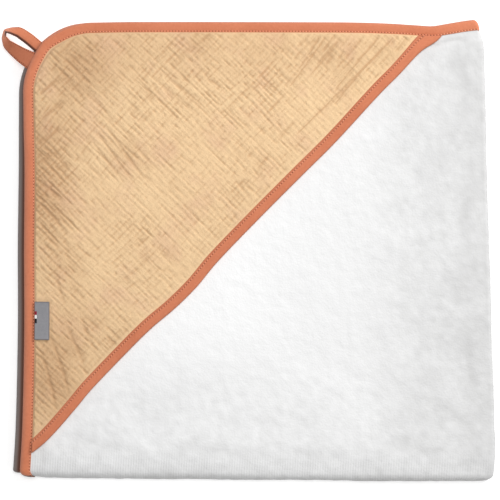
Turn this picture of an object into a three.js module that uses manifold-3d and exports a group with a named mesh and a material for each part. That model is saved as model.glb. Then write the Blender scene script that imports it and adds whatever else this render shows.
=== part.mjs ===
// A hooded bath towel, folded in four and laid flat, hood uppermost. Millimetres, +Z up.
//
// The towel is one square of terry cloth with rounded corners, a bias strip bound all round its edge, and a
// gauze triangle sewn over one corner as the hood. It is folded in half at the right, then at the bottom.
// Every piece is laid out flat on the open towel, in u (from the left bound edge) and v (down from the top
// bound edge), and fold() carries it into the stack, so the pieces keep touching where they are sewn.
import * as THREE from 'three';
import Module from 'manifold-3d';

const wasm = await Module();
wasm.setup();

const TERRY_WALL = 3.0;
const LAYER_PITCH = 3.6;
const SEAM_GAP = 0.3;
const CORNER_RADIUS = 60;

// From the bound edges to where the cloth starts to turn over, and how far the far edges overshoot it.
const ACROSS_TO_FOLD = 390;
const DOWN_TO_FOLD = 380;
const OVERSHOOT_LEFT = 6.3;
const OVERSHOOT_TOP = -1.5;

// How the stack settles towards its side fold and its end fold: over what width, and by what share.
const SIDE_SETTLING = { width: 36, share: 0.12 };
const END_SETTLING = { width: 14, share: 0.06 };

// How far the bottom fold's two ends are rounded off, and over what width.
const FOLD_END_ROUNDING = { left: 6, right: 8, width: 40 };

// The straight left and top edges that the tables of the outline bend a little.
const STRAIGHT_LEFT = -192.5;
const STRAIGHT_TOP = 193.0;

const TOP_LAYER_HEIGHT = TERRY_WALL / 2 + 3 * LAYER_PITCH;
const STACK_MIDDLE = (TOP_LAYER_HEIGHT + TERRY_WALL / 2) / 2;
const SIDE_FOLD_RADIUS = LAYER_PITCH / 2;
const END_FOLD_RADIUS = TOP_LAYER_HEIGHT - STACK_MIDDLE;
const ACROSS = 2 * ACROSS_TO_FOLD + Math.PI * SIDE_FOLD_RADIUS + OVERSHOOT_LEFT;
const DOWN = 2 * DOWN_TO_FOLD + Math.PI * END_FOLD_RADIUS + OVERSHOOT_TOP;

// The bias strip, folded round an edge: cloth, width on each face, thickness over both legs, and how far in
// from the edge its rounded turn ends.
const BINDING = { cloth: 0.6, width: 9.2, thickness: 3.0, turn: 2.0 };
const HOOD_BINDING_STEPS = 40;

// The terry's edge inside the strip: a squeezed lip, which grows to full pile a little way in.
const LIP_THICKNESS = 1.2;
const LIP_INSET = 1.6;
const LIP_END = 9.6;
const FULL_PILE_INSET = 20;

// The hood's two short sides, its wall, and its crinkles: how many, how high, and how uneven.
const HOOD = { across: 365, down: 373, wall: 1.2, bindingWidth: 9.6 };
const CRINKLE = { crests: 58, height: 0.75, lowestShare: 0.5, wander: 0.24 };
const UNEVEN = { wander: 2.4, column: 1.7, row: 2.1 };

const LABEL = { from: 9.8, reach: 12.9, top: 236, length: 32.5, wall: 1.0, clearance: 3.0 };
const LABEL_FOLD = { width: 1.0, squeeze: 0.25 };
const LOOP = { width: 10.0, wall: 1.3, stepsPerRow: 3 };

// The stack's outline seen from above, as it lies: a little wavy, and wider at the bottom fold.
const LEFT_EDGE = [
  { y: -195, x: -195.0 },
  { y: -152, x: -192.1 },
  { y: -68, x: -190.2 },
  { y: 0, x: -190.7 },
  { y: 68, x: -190.9 },
  { y: 105, x: -192.0 },
  { y: 195, x: -193.0 },
];
const TOP_EDGE = [
  { x: -195, y: 191.5 },
  { x: -160, y: 191.9 },
  { x: -130, y: 192.5 },
  { x: -95, y: 193.0 },
  { x: 68, y: 192.8 },
  { x: 100, y: 192.5 },
  { x: 127, y: 191.6 },
  { x: 150, y: 190.2 },
  { x: 163, y: 189.5 },
  { x: 175, y: 191.4 },
  { x: 190, y: 194.0 },
  { x: 200, y: 195.2 },
];
const RIGHT_FOLD = [
  { y: -196, x: 203.5 },
  { y: -184, x: 205.3 },
  { y: -152, x: 206.2 },
  { y: -68, x: 203.6 },
  { y: 68, x: 199.4 },
  { y: 141, x: 197.7 },
  { y: 171, x: 196.4 },
  { y: 186, x: 193.0 },
  { y: 195, x: 189.6 },
];
const BOTTOM_FOLD = [
  { x: -200, y: -191.8 },
  { x: -127, y: -193.1 },
  { x: 0, y: -194.4 },
  { x: 85, y: -195.0 },
  { x: 206, y: -195.2 },
];

// How far the hood's slanted edge bulges out of a straight line, by share of the way from its top end.
const HOOD_EDGE_WAVES = [
  { share: 0.0, out: 0.8 },
  { share: 0.03, out: -0.5 },
  { share: 0.06, out: -1.8 },
  { share: 0.12, out: -0.9 },
  { share: 0.16, out: -1.1 },
  { share: 0.27, out: 0.1 },
  { share: 0.35, out: -1.0 },
  { share: 0.45, out: -1.9 },
  { share: 0.55, out: -1.7 },
  { share: 0.6, out: 0.3 },
  { share: 0.65, out: -0.2 },
  { share: 0.7, out: -2.6 },
  { share: 0.76, out: -2.9 },
  { share: 0.84, out: -1.9 },
  { share: 0.88, out: 0.3 },
  { share: 0.95, out: 2.7 },
  { share: 1.0, out: 0.0 },
];

// The hanging loop's ribbon, from its upper seam round its tip to its lower seam. x and y are its middle line
// from the round corner's centre, z is above the top layer's middle, and tilt leans its outer side down.
const LOOP_SECTIONS = [
  { x: -45.7, y: 38.4, z: 0.0, tilt: 0 },
  { x: -54.7, y: 46.2, z: 0.2, tilt: 4 },
  { x: -62.8, y: 52.4, z: -0.2, tilt: 22 },
  { x: -68.4, y: 53.7, z: -0.8, tilt: 56 },
  { x: -72.2, y: 52.4, z: -1.2, tilt: 74 },
  { x: -74.0, y: 47.8, z: -1.6, tilt: 72 },
  { x: -73.0, y: 42.0, z: -1.6, tilt: 60 },
  { x: -68.0, y: 37.7, z: -1.2, tilt: 26 },
  { x: -61.5, y: 33.4, z: -0.4, tilt: 6 },
  { x: -52.8, y: 28.6, z: 0.0, tilt: 0 },
];

const COLOURS = { terry: 0xf3f2f0, gauze: 0xecc89b, binding: 0xde8b67, label: 0x97979d };

const mix = (from, to, share) => from + (to - from) * share;
const degrees = (angle) => (angle * Math.PI) / 180;

// A smooth line through a table's rows, as a function of the column named along.
function lineThrough(rows, along, across) {
  const slope = (i) => {
    const before = rows[Math.max(i - 1, 0)];
    const after = rows[Math.min(i + 1, rows.length - 1)];
    return (after[across] - before[across]) / (after[along] - before[along]);
  };
  return (place) => {
    let i = 0;
    while (i < rows.length - 2 && place > rows[i + 1][along]) {
      i += 1;
    }
    const span = rows[i + 1][along] - rows[i][along];
    const t = THREE.MathUtils.clamp((place - rows[i][along]) / span, 0, 1);
    const blend = t * t * (3 - 2 * t);
    const lean = t * (1 - t) * span * ((1 - t) * slope(i) - t * slope(i + 1));
    return mix(rows[i][across], rows[i + 1][across], blend) + lean;
  };
}

const leftEdge = lineThrough(LEFT_EDGE, 'y', 'x');
const topEdge = lineThrough(TOP_EDGE, 'x', 'y');
const rightFold = lineThrough(RIGHT_FOLD, 'y', 'x');
const bottomFold = lineThrough(BOTTOM_FOLD, 'x', 'y');
const hoodWave = lineThrough(HOOD_EDGE_WAVES, 'share', 'out');

// How far a point of the cloth lies from the bound edge on its own layer, and how far round the turn it is.
function turnOver(place, toFold, radius) {
  const past = place - toFold;
  if (past <= 0) {
    return { flat: place, angle: 0 };
  }
  if (past < Math.PI * radius) {
    return { flat: toFold, angle: past / radius };
  }
  return { flat: toFold - (past - Math.PI * radius), angle: Math.PI };
}

// The stack is full in the middle and settles a little towards its two folds.
function settle(flatAcross, flatDown) {
  const side = THREE.MathUtils.smoothstep(flatAcross, ACROSS_TO_FOLD - SIDE_SETTLING.width, ACROSS_TO_FOLD);
  const end = THREE.MathUtils.smoothstep(flatDown, DOWN_TO_FOLD - END_SETTLING.width, DOWN_TO_FOLD);
  return 1 - SIDE_SETTLING.share * side - END_SETTLING.share * end;
}

// How far a point of the bottom fold is drawn in at its ends, by how far it stands out past the fold's axis.
function roundOff(flatAcross, pastAxis) {
  const { left, right, width } = FOLD_END_ROUNDING;
  const out = Math.min(Math.max(pastAxis, 0) / (END_FOLD_RADIUS + TERRY_WALL / 2), 1);
  const atLeft = 1 - THREE.MathUtils.smoothstep(flatAcross, 0, width);
  const atRight = THREE.MathUtils.smoothstep(flatAcross, ACROSS_TO_FOLD - width, ACROSS_TO_FOLD);
  return (1 - Math.sqrt(1 - out * out)) * (left * atLeft - right * atRight);
}

// Where a point of the open towel lies once folded. out is its height over the cloth's middle, on the face
// that carries the hood.
function fold(u, v, out) {
  const side = turnOver(u, ACROSS_TO_FOLD, SIDE_FOLD_RADIUS);
  const end = turnOver(v, DOWN_TO_FOLD, END_FOLD_RADIUS);
  const roughX = STRAIGHT_LEFT + side.flat;
  const roughY = STRAIGHT_TOP - end.flat;
  const sideAxis = rightFold(roughY) - SIDE_FOLD_RADIUS - TERRY_WALL / 2;
  const endAxis = bottomFold(roughX) + END_FOLD_RADIUS + TERRY_WALL / 2;
  const sideReach = SIDE_FOLD_RADIUS + out;
  const aboveMiddle = END_FOLD_RADIUS - SIDE_FOLD_RADIUS + sideReach * Math.cos(side.angle);
  const pastAxis = aboveMiddle * Math.sin(end.angle);
  const flatX = mix(leftEdge(roughY), sideAxis, side.flat / ACROSS_TO_FOLD);
  const x = flatX + sideReach * Math.sin(side.angle) + roundOff(side.flat, pastAxis);
  const y = mix(topEdge(roughX), endAxis, end.flat / DOWN_TO_FOLD) - pastAxis;
  const z = (STACK_MIDDLE + aboveMiddle * Math.cos(end.angle)) * settle(side.flat, end.flat);
  return new THREE.Vector3(x, y, z);
}

// Distance from a point of the open towel to the nearest bound edge, round its rounded corners.
function edgeDistance(u, v) {
  const across = Math.min(u, ACROSS - u);
  const down = Math.min(v, DOWN - v);
  if (across < CORNER_RADIUS && down < CORNER_RADIUS) {
    return CORNER_RADIUS - Math.hypot(CORNER_RADIUS - across, CORNER_RADIUS - down);
  }
  return Math.min(across, down);
}

// Half the terry's thickness: squeezed to a lip inside the binding, full pile a little way in.
function pile(u, v) {
  const share = THREE.MathUtils.clamp((edgeDistance(u, v) - LIP_END) / (FULL_PILE_INSET - LIP_END), 0, 1);
  return mix(LIP_THICKNESS / 2, TERRY_WALL / 2, share);
}

// Joins faces into one buffer geometry and turns them outward.
function closedGeometry(points, faces) {
  let volume = 0;
  for (let i = 0; i < faces.length; i += 3) {
    const [a, b, c] = [points[faces[i]], points[faces[i + 1]], points[faces[i + 2]]];
    volume += a.dot(b.clone().cross(c));
  }
  const outward = volume > 0 ? faces : faces.slice().reverse();
  const geometry = new THREE.BufferGeometry().setFromPoints(points);
  geometry.setIndex(outward);
  geometry.computeVertexNormals();
  return geometry;
}

// A closed wall over flat cells of cloth. front and back give a cell's corner its place on either face.
function wallFromCells(cells, front, back) {
  const numbers = new Map();
  const fronts = [];
  const backs = [];
  const numberOf = ([p, q]) => {
    const key = `${p.toFixed(3)} ${q.toFixed(3)}`;
    if (!numbers.has(key)) {
      numbers.set(key, fronts.length);
      fronts.push(front(p, q));
      backs.push(back(p, q));
    }
    return numbers.get(key);
  };
  const rings = cells.map((cell) => cell.map(numberOf));
  const count = fronts.length;
  const faces = [];
  const edges = new Map();
  for (const ring of rings) {
    for (let i = 1; i < ring.length - 1; i += 1) {
      faces.push(ring[0], ring[i], ring[i + 1]);
      faces.push(count + ring[0], count + ring[i + 1], count + ring[i]);
    }
    ring.forEach((from, i) => {
      const to = ring[(i + 1) % ring.length];
      edges.set(`${from} ${to}`, [from, to]);
    });
  }
  for (const [from, to] of edges.values()) {
    if (!edges.has(`${to} ${from}`)) {
      faces.push(from, count + from, count + to, from, count + to, to);
    }
  }
  return closedGeometry([...fronts, ...backs], faces);
}

// A closed wall swept through sections that all have the profile's points in the same order.
function wallFromSections(sections, profile, isRing) {
  const size = profile.length;
  const faces = [];
  const last = isRing ? sections.length : sections.length - 1;
  for (let i = 0; i < last; i += 1) {
    const here = i * size;
    const next = ((i + 1) % sections.length) * size;
    for (let k = 0; k < size; k += 1) {
      const along = (k + 1) % size;
      faces.push(here + k, next + k, next + along, here + k, next + along, here + along);
    }
  }
  if (!isRing) {
    const flat = profile.map(({ inset, out }) => new THREE.Vector2(inset, out));
    const isClockwise = (corners) => THREE.ShapeUtils.area(corners) < 0;
    const end = (sections.length - 1) * size;
    for (const [a, b, c] of THREE.ShapeUtils.triangulateShape(flat, [])) {
      const isSameWay = isClockwise([flat[a], flat[b], flat[c]]) === isClockwise(flat);
      const [p, q, r] = isSameWay ? [a, b, c] : [a, c, b];
      faces.push(p, q, r, end + p, end + r, end + q);
    }
  }
  return closedGeometry(sections.flat(), faces);
}

const EDGE_STOPS = [LIP_INSET, LIP_END, FULL_PILE_INSET];
const PANEL_STOPS = [CORNER_RADIUS, 130, 200, 270, 312, 330, 344];
const CORNER_STEPS = 8;

// Places along one direction of the towel, close together where the cloth turns over at the fold.
function stopsToFold(toFold, radius, settleWidth, turnSteps) {
  const settled = [1, 2 / 3, 1 / 3, 0].map((share) => toFold - settleWidth * share);
  const arc = Math.PI * radius;
  const turned = Array.from({ length: turnSteps }, (_, i) => toFold + (arc * (i + 1)) / turnSteps);
  return [...EDGE_STOPS, ...PANEL_STOPS, ...settled, ...turned];
}

const SIDE_TURN_STEPS = 6;
const END_TURN_STEPS = 8;
const ACROSS_STOPS = stopsToFold(ACROSS_TO_FOLD, SIDE_FOLD_RADIUS, SIDE_SETTLING.width, SIDE_TURN_STEPS);
const DOWN_STOPS = stopsToFold(DOWN_TO_FOLD, END_FOLD_RADIUS, END_SETTLING.width, END_TURN_STEPS);

// The same places seen from the far edge, for the layers beyond the fold.
function stopsAcrossFold(stops, total) {
  const far = stops.filter((stop) => total - stop > stops[stops.length - 1]).map((stop) => total - stop);
  return [...stops, ...far.reverse()];
}

// Cells of the open towel between the given places, with fans of cells round its rounded corners.
function towelCells(acrossStops, downStops, edgeStops, keeps) {
  const cells = [];
  const isCorner = (u, v) =>
    Math.min(u, ACROSS - u) < CORNER_RADIUS - 1 && Math.min(v, DOWN - v) < CORNER_RADIUS - 1;
  for (let i = 0; i < acrossStops.length - 1; i += 1) {
    for (let j = 0; j < downStops.length - 1; j += 1) {
      const [left, right] = [acrossStops[i], acrossStops[i + 1]];
      const [upper, lower] = [downStops[j], downStops[j + 1]];
      const [u, v] = [(left + right) / 2, (upper + lower) / 2];
      if (keeps(u, v) && !isCorner(u, v)) {
        cells.push([[left, upper], [left, lower], [right, lower], [right, upper]]);
      }
    }
  }
  const radii = [...edgeStops.map((stop) => CORNER_RADIUS - stop), 0];
  for (const farAcross of [false, true]) {
    for (const farDown of [false, true]) {
      const isMirrored = farAcross !== farDown;
      const at = (radius, step) => {
        const angle = (Math.PI / 2) * (step / CORNER_STEPS);
        const u = CORNER_RADIUS - radius * Math.sin(angle);
        const v = CORNER_RADIUS - radius * Math.cos(angle);
        return [farAcross ? ACROSS - u : u, farDown ? DOWN - v : v];
      };
      if (!keeps(...at(radii[0], CORNER_STEPS / 2))) {
        continue;
      }
      for (let step = 0; step < CORNER_STEPS; step += 1) {
        for (let ring = 0; ring < radii.length - 1; ring += 1) {
          const cell = [at(radii[ring], step), at(radii[ring], step + 1), at(radii[ring + 1], step + 1)];
          if (radii[ring + 1] > 0) {
            cell.push(at(radii[ring + 1], step));
          }
          cells.push(isMirrored ? cell.reverse() : cell);
        }
      }
    }
  }
  return cells;
}

// How far underneath the visible layer goes on past each fold, and how far in the hidden core starts.
const SIDE_TONGUE = 10;
const END_TONGUE = 8;
const CORE_INSET = 14;
const SIDE_SPLIT = ACROSS_TO_FOLD + Math.PI * SIDE_FOLD_RADIUS + SIDE_TONGUE;
const END_SPLIT = DOWN_TO_FOLD + Math.PI * END_FOLD_RADIUS + END_TONGUE;

// The visible layer of terry, which goes on round both folds and ends just underneath.
function makeTopTerry() {
  const acrossStops = [...ACROSS_STOPS, SIDE_SPLIT];
  const downStops = [...DOWN_STOPS, END_SPLIT];
  const cells = towelCells(acrossStops, downStops, EDGE_STOPS, (u, v) => u < SIDE_SPLIT && v < END_SPLIT);
  return wallFromCells(
    cells,
    (u, v) => fold(u, v, pile(u, v)),
    (u, v) => fold(u, v, -pile(u, v)),
  );
}

function toManifold(geometry) {
  return new wasm.Manifold(new wasm.Mesh({
    numProp: 3,
    vertProperties: new Float32Array(geometry.getAttribute('position').array),
    triVerts: new Uint32Array(geometry.getIndex().array),
  }));
}

function fromManifold(solid) {
  const mesh = solid.getMesh();
  const points = [];
  for (let i = 0; i < mesh.vertProperties.length; i += mesh.numProp) {
    points.push(new THREE.Vector3().fromArray(mesh.vertProperties, i));
  }
  return closedGeometry(points, Array.from(mesh.triVerts));
}

// The three hidden layers: the rest of the folded cloth, filled solid behind its edges.
function makeHiddenTerry() {
  const acrossStops = stopsAcrossFold([...ACROSS_STOPS, SIDE_SPLIT + SEAM_GAP], ACROSS);
  const downStops = stopsAcrossFold([...DOWN_STOPS, END_SPLIT + SEAM_GAP], DOWN);
  const isHidden = (u, v) => u > SIDE_SPLIT + SEAM_GAP || v > END_SPLIT + SEAM_GAP;
  const layers = wallFromCells(
    towelCells(acrossStops, downStops, EDGE_STOPS, isHidden),
    (u, v) => fold(u, v, pile(u, v)),
    (u, v) => fold(u, v, -pile(u, v)),
  );
  const inCore = (stop) => stop >= CORNER_RADIUS;
  const coreAcross = ACROSS_STOPS.filter((stop) => inCore(stop) && stop < ACROSS_TO_FOLD - CORE_INSET);
  const coreDown = DOWN_STOPS.filter((stop) => inCore(stop) && stop < DOWN_TO_FOLD - CORE_INSET);
  const coreCells = towelCells(
    [CORE_INSET, ...coreAcross],
    [CORE_INSET, ...coreDown],
    [CORE_INSET],
    (u, v) => u < ACROSS_TO_FOLD && v < DOWN_TO_FOLD,
  );
  const core = wallFromCells(
    coreCells,
    (u, v) => fold(u, v, -LAYER_PITCH),
    (u, v) => fold(u, v, -3 * LAYER_PITCH),
  );
  return fromManifold(toManifold(layers).add(toManifold(core)));
}

// The bias strip's section, open towards the cloth: inset from the edge, and out from the strip's middle.
function bindingProfile(width) {
  const skin = BINDING.thickness / 2;
  const inside = skin - BINDING.cloth;
  const shoulder = { inset: 0.3 * BINDING.turn, out: 0.72 * skin };
  const innerTurn = 0.65 * BINDING.turn;
  const innerShoulder = { inset: 0.35 * BINDING.turn, out: 0.4 * inside };
  return [
    { inset: width, out: skin },
    { inset: BINDING.turn, out: skin },
    shoulder,
    { inset: 0, out: 0 },
    { inset: shoulder.inset, out: -shoulder.out },
    { inset: BINDING.turn, out: -skin },
    { inset: width, out: -skin },
    { inset: width, out: -inside },
    { inset: innerTurn, out: -inside },
    { inset: innerShoulder.inset, out: -innerShoulder.out },
    innerShoulder,
    { inset: innerTurn, out: inside },
    { inset: width, out: inside },
  ];
}

// Every station round the open towel's edge, with the way in towards the cloth.
function edgeStations() {
  const isStraight = (total) => (stop) => stop > CORNER_RADIUS + 1 && stop < total - CORNER_RADIUS - 1;
  const acrossStops = stopsAcrossFold(ACROSS_STOPS, ACROSS).filter(isStraight(ACROSS));
  const downStops = stopsAcrossFold(DOWN_STOPS, DOWN).filter(isStraight(DOWN));
  const corner = (u, v, start) =>
    Array.from({ length: CORNER_STEPS + 1 }, (_, step) => {
      const angle = start + (Math.PI / 2) * (step / CORNER_STEPS);
      const [outU, outV] = [Math.cos(angle), Math.sin(angle)];
      return { u: u + CORNER_RADIUS * outU, v: v + CORNER_RADIUS * outV, inU: -outU, inV: -outV };
    });
  const near = CORNER_RADIUS;
  const [farU, farV] = [ACROSS - CORNER_RADIUS, DOWN - CORNER_RADIUS];
  return [
    ...corner(near, near, Math.PI),
    ...acrossStops.map((u) => ({ u, v: 0, inU: 0, inV: 1 })),
    ...corner(farU, near, Math.PI * 1.5),
    ...downStops.map((v) => ({ u: ACROSS, v, inU: -1, inV: 0 })),
    ...corner(farU, farV, 0),
    ...acrossStops.toReversed().map((u) => ({ u, v: DOWN, inU: 0, inV: -1 })),
    ...corner(near, farV, Math.PI / 2),
    ...downStops.toReversed().map((v) => ({ u: 0, v, inU: 1, inV: 0 })),
  ];
}

// One strip round the whole towel: it passes every layer's edge and turns over with the cloth at each fold.
function makeEdgeBinding() {
  const profile = bindingProfile(BINDING.width);
  const sections = edgeStations().map(({ u, v, inU, inV }) =>
    profile.map(({ inset, out }) => fold(u + inU * inset, v + inV * inset, out)));
  return wallFromSections(sections, profile, true);
}

// A point of the hood, by share of the way along its slanted edge and inset from it towards the corner.
const SLANT = Math.hypot(HOOD.across, HOOD.down);
const SLANT_IN = { u: -HOOD.down / SLANT, v: -HOOD.across / SLANT };
const HOOD_CLEAR = BINDING.width + SEAM_GAP + 0.1;
const END_PASSES = 4;

// The ends depend on the edge's waves there, so a few passes settle them.
function hoodPoint(share, inset) {
  let [start, end] = [0, 1];
  for (let pass = 0; pass < END_PASSES; pass += 1) {
    start = (HOOD_CLEAR - SLANT_IN.v * (inset - hoodWave(start))) / HOOD.down;
    end = 1 - (HOOD_CLEAR - SLANT_IN.u * (inset - hoodWave(end))) / HOOD.across;
  }
  const along = mix(start, end, share);
  const reach = inset - hoodWave(along);
  return {
    u: HOOD.across * (1 - along) + SLANT_IN.u * reach,
    v: HOOD.down * along + SLANT_IN.v * reach,
  };
}

// How far the hood runs from a point of its slanted edge, square to it, until it meets the edge binding.
function hoodReach({ u, v }) {
  const limit = HOOD_CLEAR + SEAM_GAP;
  const straight = Math.min((u - limit) / -SLANT_IN.u, (v - limit) / -SLANT_IN.v);
  const endU = u + SLANT_IN.u * straight;
  const endV = v + SLANT_IN.v * straight;
  if (endU > CORNER_RADIUS || endV > CORNER_RADIUS) {
    return straight;
  }
  const [fromU, fromV] = [u - CORNER_RADIUS, v - CORNER_RADIUS];
  const towards = -(fromU * SLANT_IN.u + fromV * SLANT_IN.v);
  const offset = fromU * fromU + fromV * fromV - towards * towards;
  return towards + Math.sqrt((CORNER_RADIUS - limit) ** 2 - offset);
}

// The hood panel starts a little way inside its slanted strip, rises to the open gauze past it, and comes
// down to its far seam. Where it is narrow each of these takes at most the given share of the way across.
const HOOD_ROWS = 7;
const HOOD_SEAM = { inset: HOOD.bindingWidth + 0.4, share: 0.2 };
const HOOD_RISE = { width: 6, share: 0.35 };
const HOOD_FAR_SEAM = { width: 15, share: 0.3 };

// Where a row of the hood panel lies on its way across, close together at both seams.
function hoodRow(row, reach) {
  const seam = Math.min(HOOD_SEAM.inset - LIP_INSET, reach * HOOD_SEAM.share);
  const rise = Math.min(seam + HOOD_RISE.width, reach * HOOD_RISE.share);
  const farSeam = reach - Math.min(HOOD_FAR_SEAM.width, reach * HOOD_FAR_SEAM.share);
  const open = [rise, mix(rise, farSeam, 0.3), mix(rise, farSeam, 0.65), farSeam];
  return [0, seam, ...open, reach][row];
}

// The gauze triangle: a thin wall with crinkles raised across it over a plain inside.
function makeHoodPanel() {
  const columns = CRINKLE.crests * 2;
  const tipShare = 0.008;
  const at = (column, row) => {
    const isTip = column === 0 || column === columns;
    const wander = isTip ? 0 : CRINKLE.wander * Math.sin(column * UNEVEN.wander);
    const start = hoodPoint(mix(tipShare, 1 - tipShare, (column + wander) / columns), LIP_INSET);
    const across = hoodRow(row, hoodReach(start));
    return { u: start.u + SLANT_IN.u * across, v: start.v + SLANT_IN.v * across, inset: across + LIP_INSET };
  };
  const floor = ({ u, v, inset }) => {
    const past = THREE.MathUtils.smoothstep(inset, HOOD_SEAM.inset, HOOD_SEAM.inset + HOOD_RISE.width);
    const lift = (BINDING.thickness - HOOD.wall) / 2;
    return pile(u, v) + SEAM_GAP + lift * (1 - past);
  };
  const isUnderLabel = ({ u, v }) => {
    const fromMiddle = Math.abs(v - LABEL.top - LABEL.length / 2);
    const isBeside = fromMiddle < LABEL.length / 2 + 2 * LABEL.clearance;
    return isBeside && u < LABEL.from + LABEL.reach + LABEL.clearance;
  };
  const crinkle = (column, row, point) => {
    const isSewn = row === HOOD_ROWS - 1 || point.inset < HOOD_SEAM.inset + HOOD_RISE.width / 2;
    if (column % 2 === 0 || isSewn || isUnderLabel(point)) {
      return 0;
    }
    const share = 0.5 + 0.5 * Math.sin(column * UNEVEN.column + row * UNEVEN.row);
    return CRINKLE.height * mix(CRINKLE.lowestShare, 1, share);
  };
  const cells = [];
  for (let column = 0; column < columns; column += 1) {
    for (let row = 0; row < HOOD_ROWS - 1; row += 1) {
      cells.push([[column, row], [column, row + 1], [column + 1, row + 1], [column + 1, row]]);
    }
  }
  return wallFromCells(
    cells,
    (column, row) => {
      const point = at(column, row);
      return fold(point.u, point.v, floor(point) + HOOD.wall + crinkle(column, row, point));
    },
    (column, row) => {
      const point = at(column, row);
      return fold(point.u, point.v, floor(point));
    },
  );
}

// The bias strip along the hood's slanted edge, lying on the terry, its ends cut to meet the edge binding.
function makeHoodBinding() {
  const profile = bindingProfile(HOOD.bindingWidth);
  const sections = Array.from({ length: HOOD_BINDING_STEPS + 1 }, (_, step) =>
    profile.map(({ inset, out }) => {
      const { u, v } = hoodPoint(step / HOOD_BINDING_STEPS, inset);
      return fold(u, v, pile(u, v) + SEAM_GAP + BINDING.thickness / 2 + out);
    }));
  return wallFromSections(sections, profile, false);
}

// A woven tab, doubled over, whose cut ends are caught in the left binding's seam. It lies on the hood.
function makeLabel() {
  const [left, right] = [LABEL.from, LABEL.from + LABEL.reach];
  const columns = [left, mix(left, right, 0.5), right - LABEL_FOLD.width, right];
  const rows = [LABEL.top, LABEL.top + LABEL.length / 2, LABEL.top + LABEL.length];
  const cells = [];
  for (let i = 0; i < columns.length - 1; i += 1) {
    for (let j = 0; j < rows.length - 1; j += 1) {
      cells.push([
        [columns[i], rows[j]],
        [columns[i], rows[j + 1]],
        [columns[i + 1], rows[j + 1]],
        [columns[i + 1], rows[j]],
      ]);
    }
  }
  const under = (u, v) => pile(u, v) + HOOD.wall + 2 * SEAM_GAP;
  const squeeze = (u) => (u > right - LABEL_FOLD.width / 2 ? LABEL_FOLD.squeeze : 0);
  return wallFromCells(
    cells,
    (u, v) => fold(u, v, under(u, v) + LABEL.wall * (1 - squeeze(u))),
    (u, v) => fold(u, v, under(u, v) + LABEL.wall * squeeze(u)),
  );
}

// The ribbon loop at the rounded corner, sewn to the edge at both ends.
function makeHangingLoop() {
  const profile = [
    { inset: 0, out: 0.5 },
    { inset: 0, out: -0.5 },
    { inset: 1, out: -0.5 },
    { inset: 1, out: 0.5 },
  ];
  const centre = fold(CORNER_RADIUS, CORNER_RADIUS, 0);
  const middle = LOOP_SECTIONS.map(({ x, y, z }) => new THREE.Vector3(x, y, z).add(centre));
  const route = new THREE.CatmullRomCurve3(middle, false, 'centripetal');
  const tilts = LOOP_SECTIONS.map(({ tilt }, row) => ({ row, tilt }));
  const tiltAt = lineThrough(tilts, 'row', 'tilt');
  const steps = LOOP.stepsPerRow * (LOOP_SECTIONS.length - 1);
  const sections = Array.from({ length: steps + 1 }, (_, step) => {
    const share = step / steps;
    const point = route.getPoint(share);
    const heading = route.getTangent(share);
    const tilt = degrees(tiltAt(share * (tilts.length - 1)));
    const level = new THREE.Vector3(heading.y, -heading.x, 0).normalize();
    const outward = level.multiplyScalar(Math.cos(tilt)).add(new THREE.Vector3(0, 0, -Math.sin(tilt)));
    const normal = outward.clone().cross(heading).normalize();
    return profile.map(({ inset, out }) =>
      point
        .clone()
        .addScaledVector(outward, LOOP.width * (0.5 - inset))
        .addScaledVector(normal, LOOP.wall * out));
  });
  return wallFromSections(sections, profile, false);
}

const cloth = (colour, roughness) =>
  new THREE.MeshStandardMaterial({ color: colour, roughness, metalness: 0 });
const terry = cloth(COLOURS.terry, 0.95);
const gauze = cloth(COLOURS.gauze, 0.9);
const biasCloth = cloth(COLOURS.binding, 0.75);
const wovenTape = cloth(COLOURS.label, 0.6);

const pieces = [
  ['terry_top_layer', makeTopTerry(), terry],
  ['terry_hidden_layers', makeHiddenTerry(), terry],
  ['hood_panel', makeHoodPanel(), gauze],
  ['hood_edge_binding', makeHoodBinding(), biasCloth],
  ['edge_binding', makeEdgeBinding(), biasCloth],
  ['hanging_loop', makeHangingLoop(), biasCloth],
  ['label', makeLabel(), wovenTape],
];

const towel = new THREE.Group();
for (const [name, geometry, material] of pieces) {
  const mesh = new THREE.Mesh(geometry, material);
  mesh.name = name;
  towel.add(mesh);
}

// The origin is on the surface that the towel lies on, under the middle of its outline.
const outline = new THREE.Box3().setFromObject(towel);
const middle = outline.getCenter(new THREE.Vector3());
towel.position.set(-middle.x, -middle.y, -outline.min.z);

export default towel;
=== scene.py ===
# %% [markdown]
# # A hooded bath towel, folded in four
# The real thing is one square of white terry with a bias strip bound all round it, a triangle of crinkled
# gauze sewn over one corner as a hood, a ribbon loop and a small woven tab. It is folded in half twice and
# lies flat. The solids of the towel are already built and packed. This lesson dresses them: every piece of
# cloth is made again as a finer sheet in the same place, and gets the weave, the creases and the sewing
# that the solids leave out.

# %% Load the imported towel
import math

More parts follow.
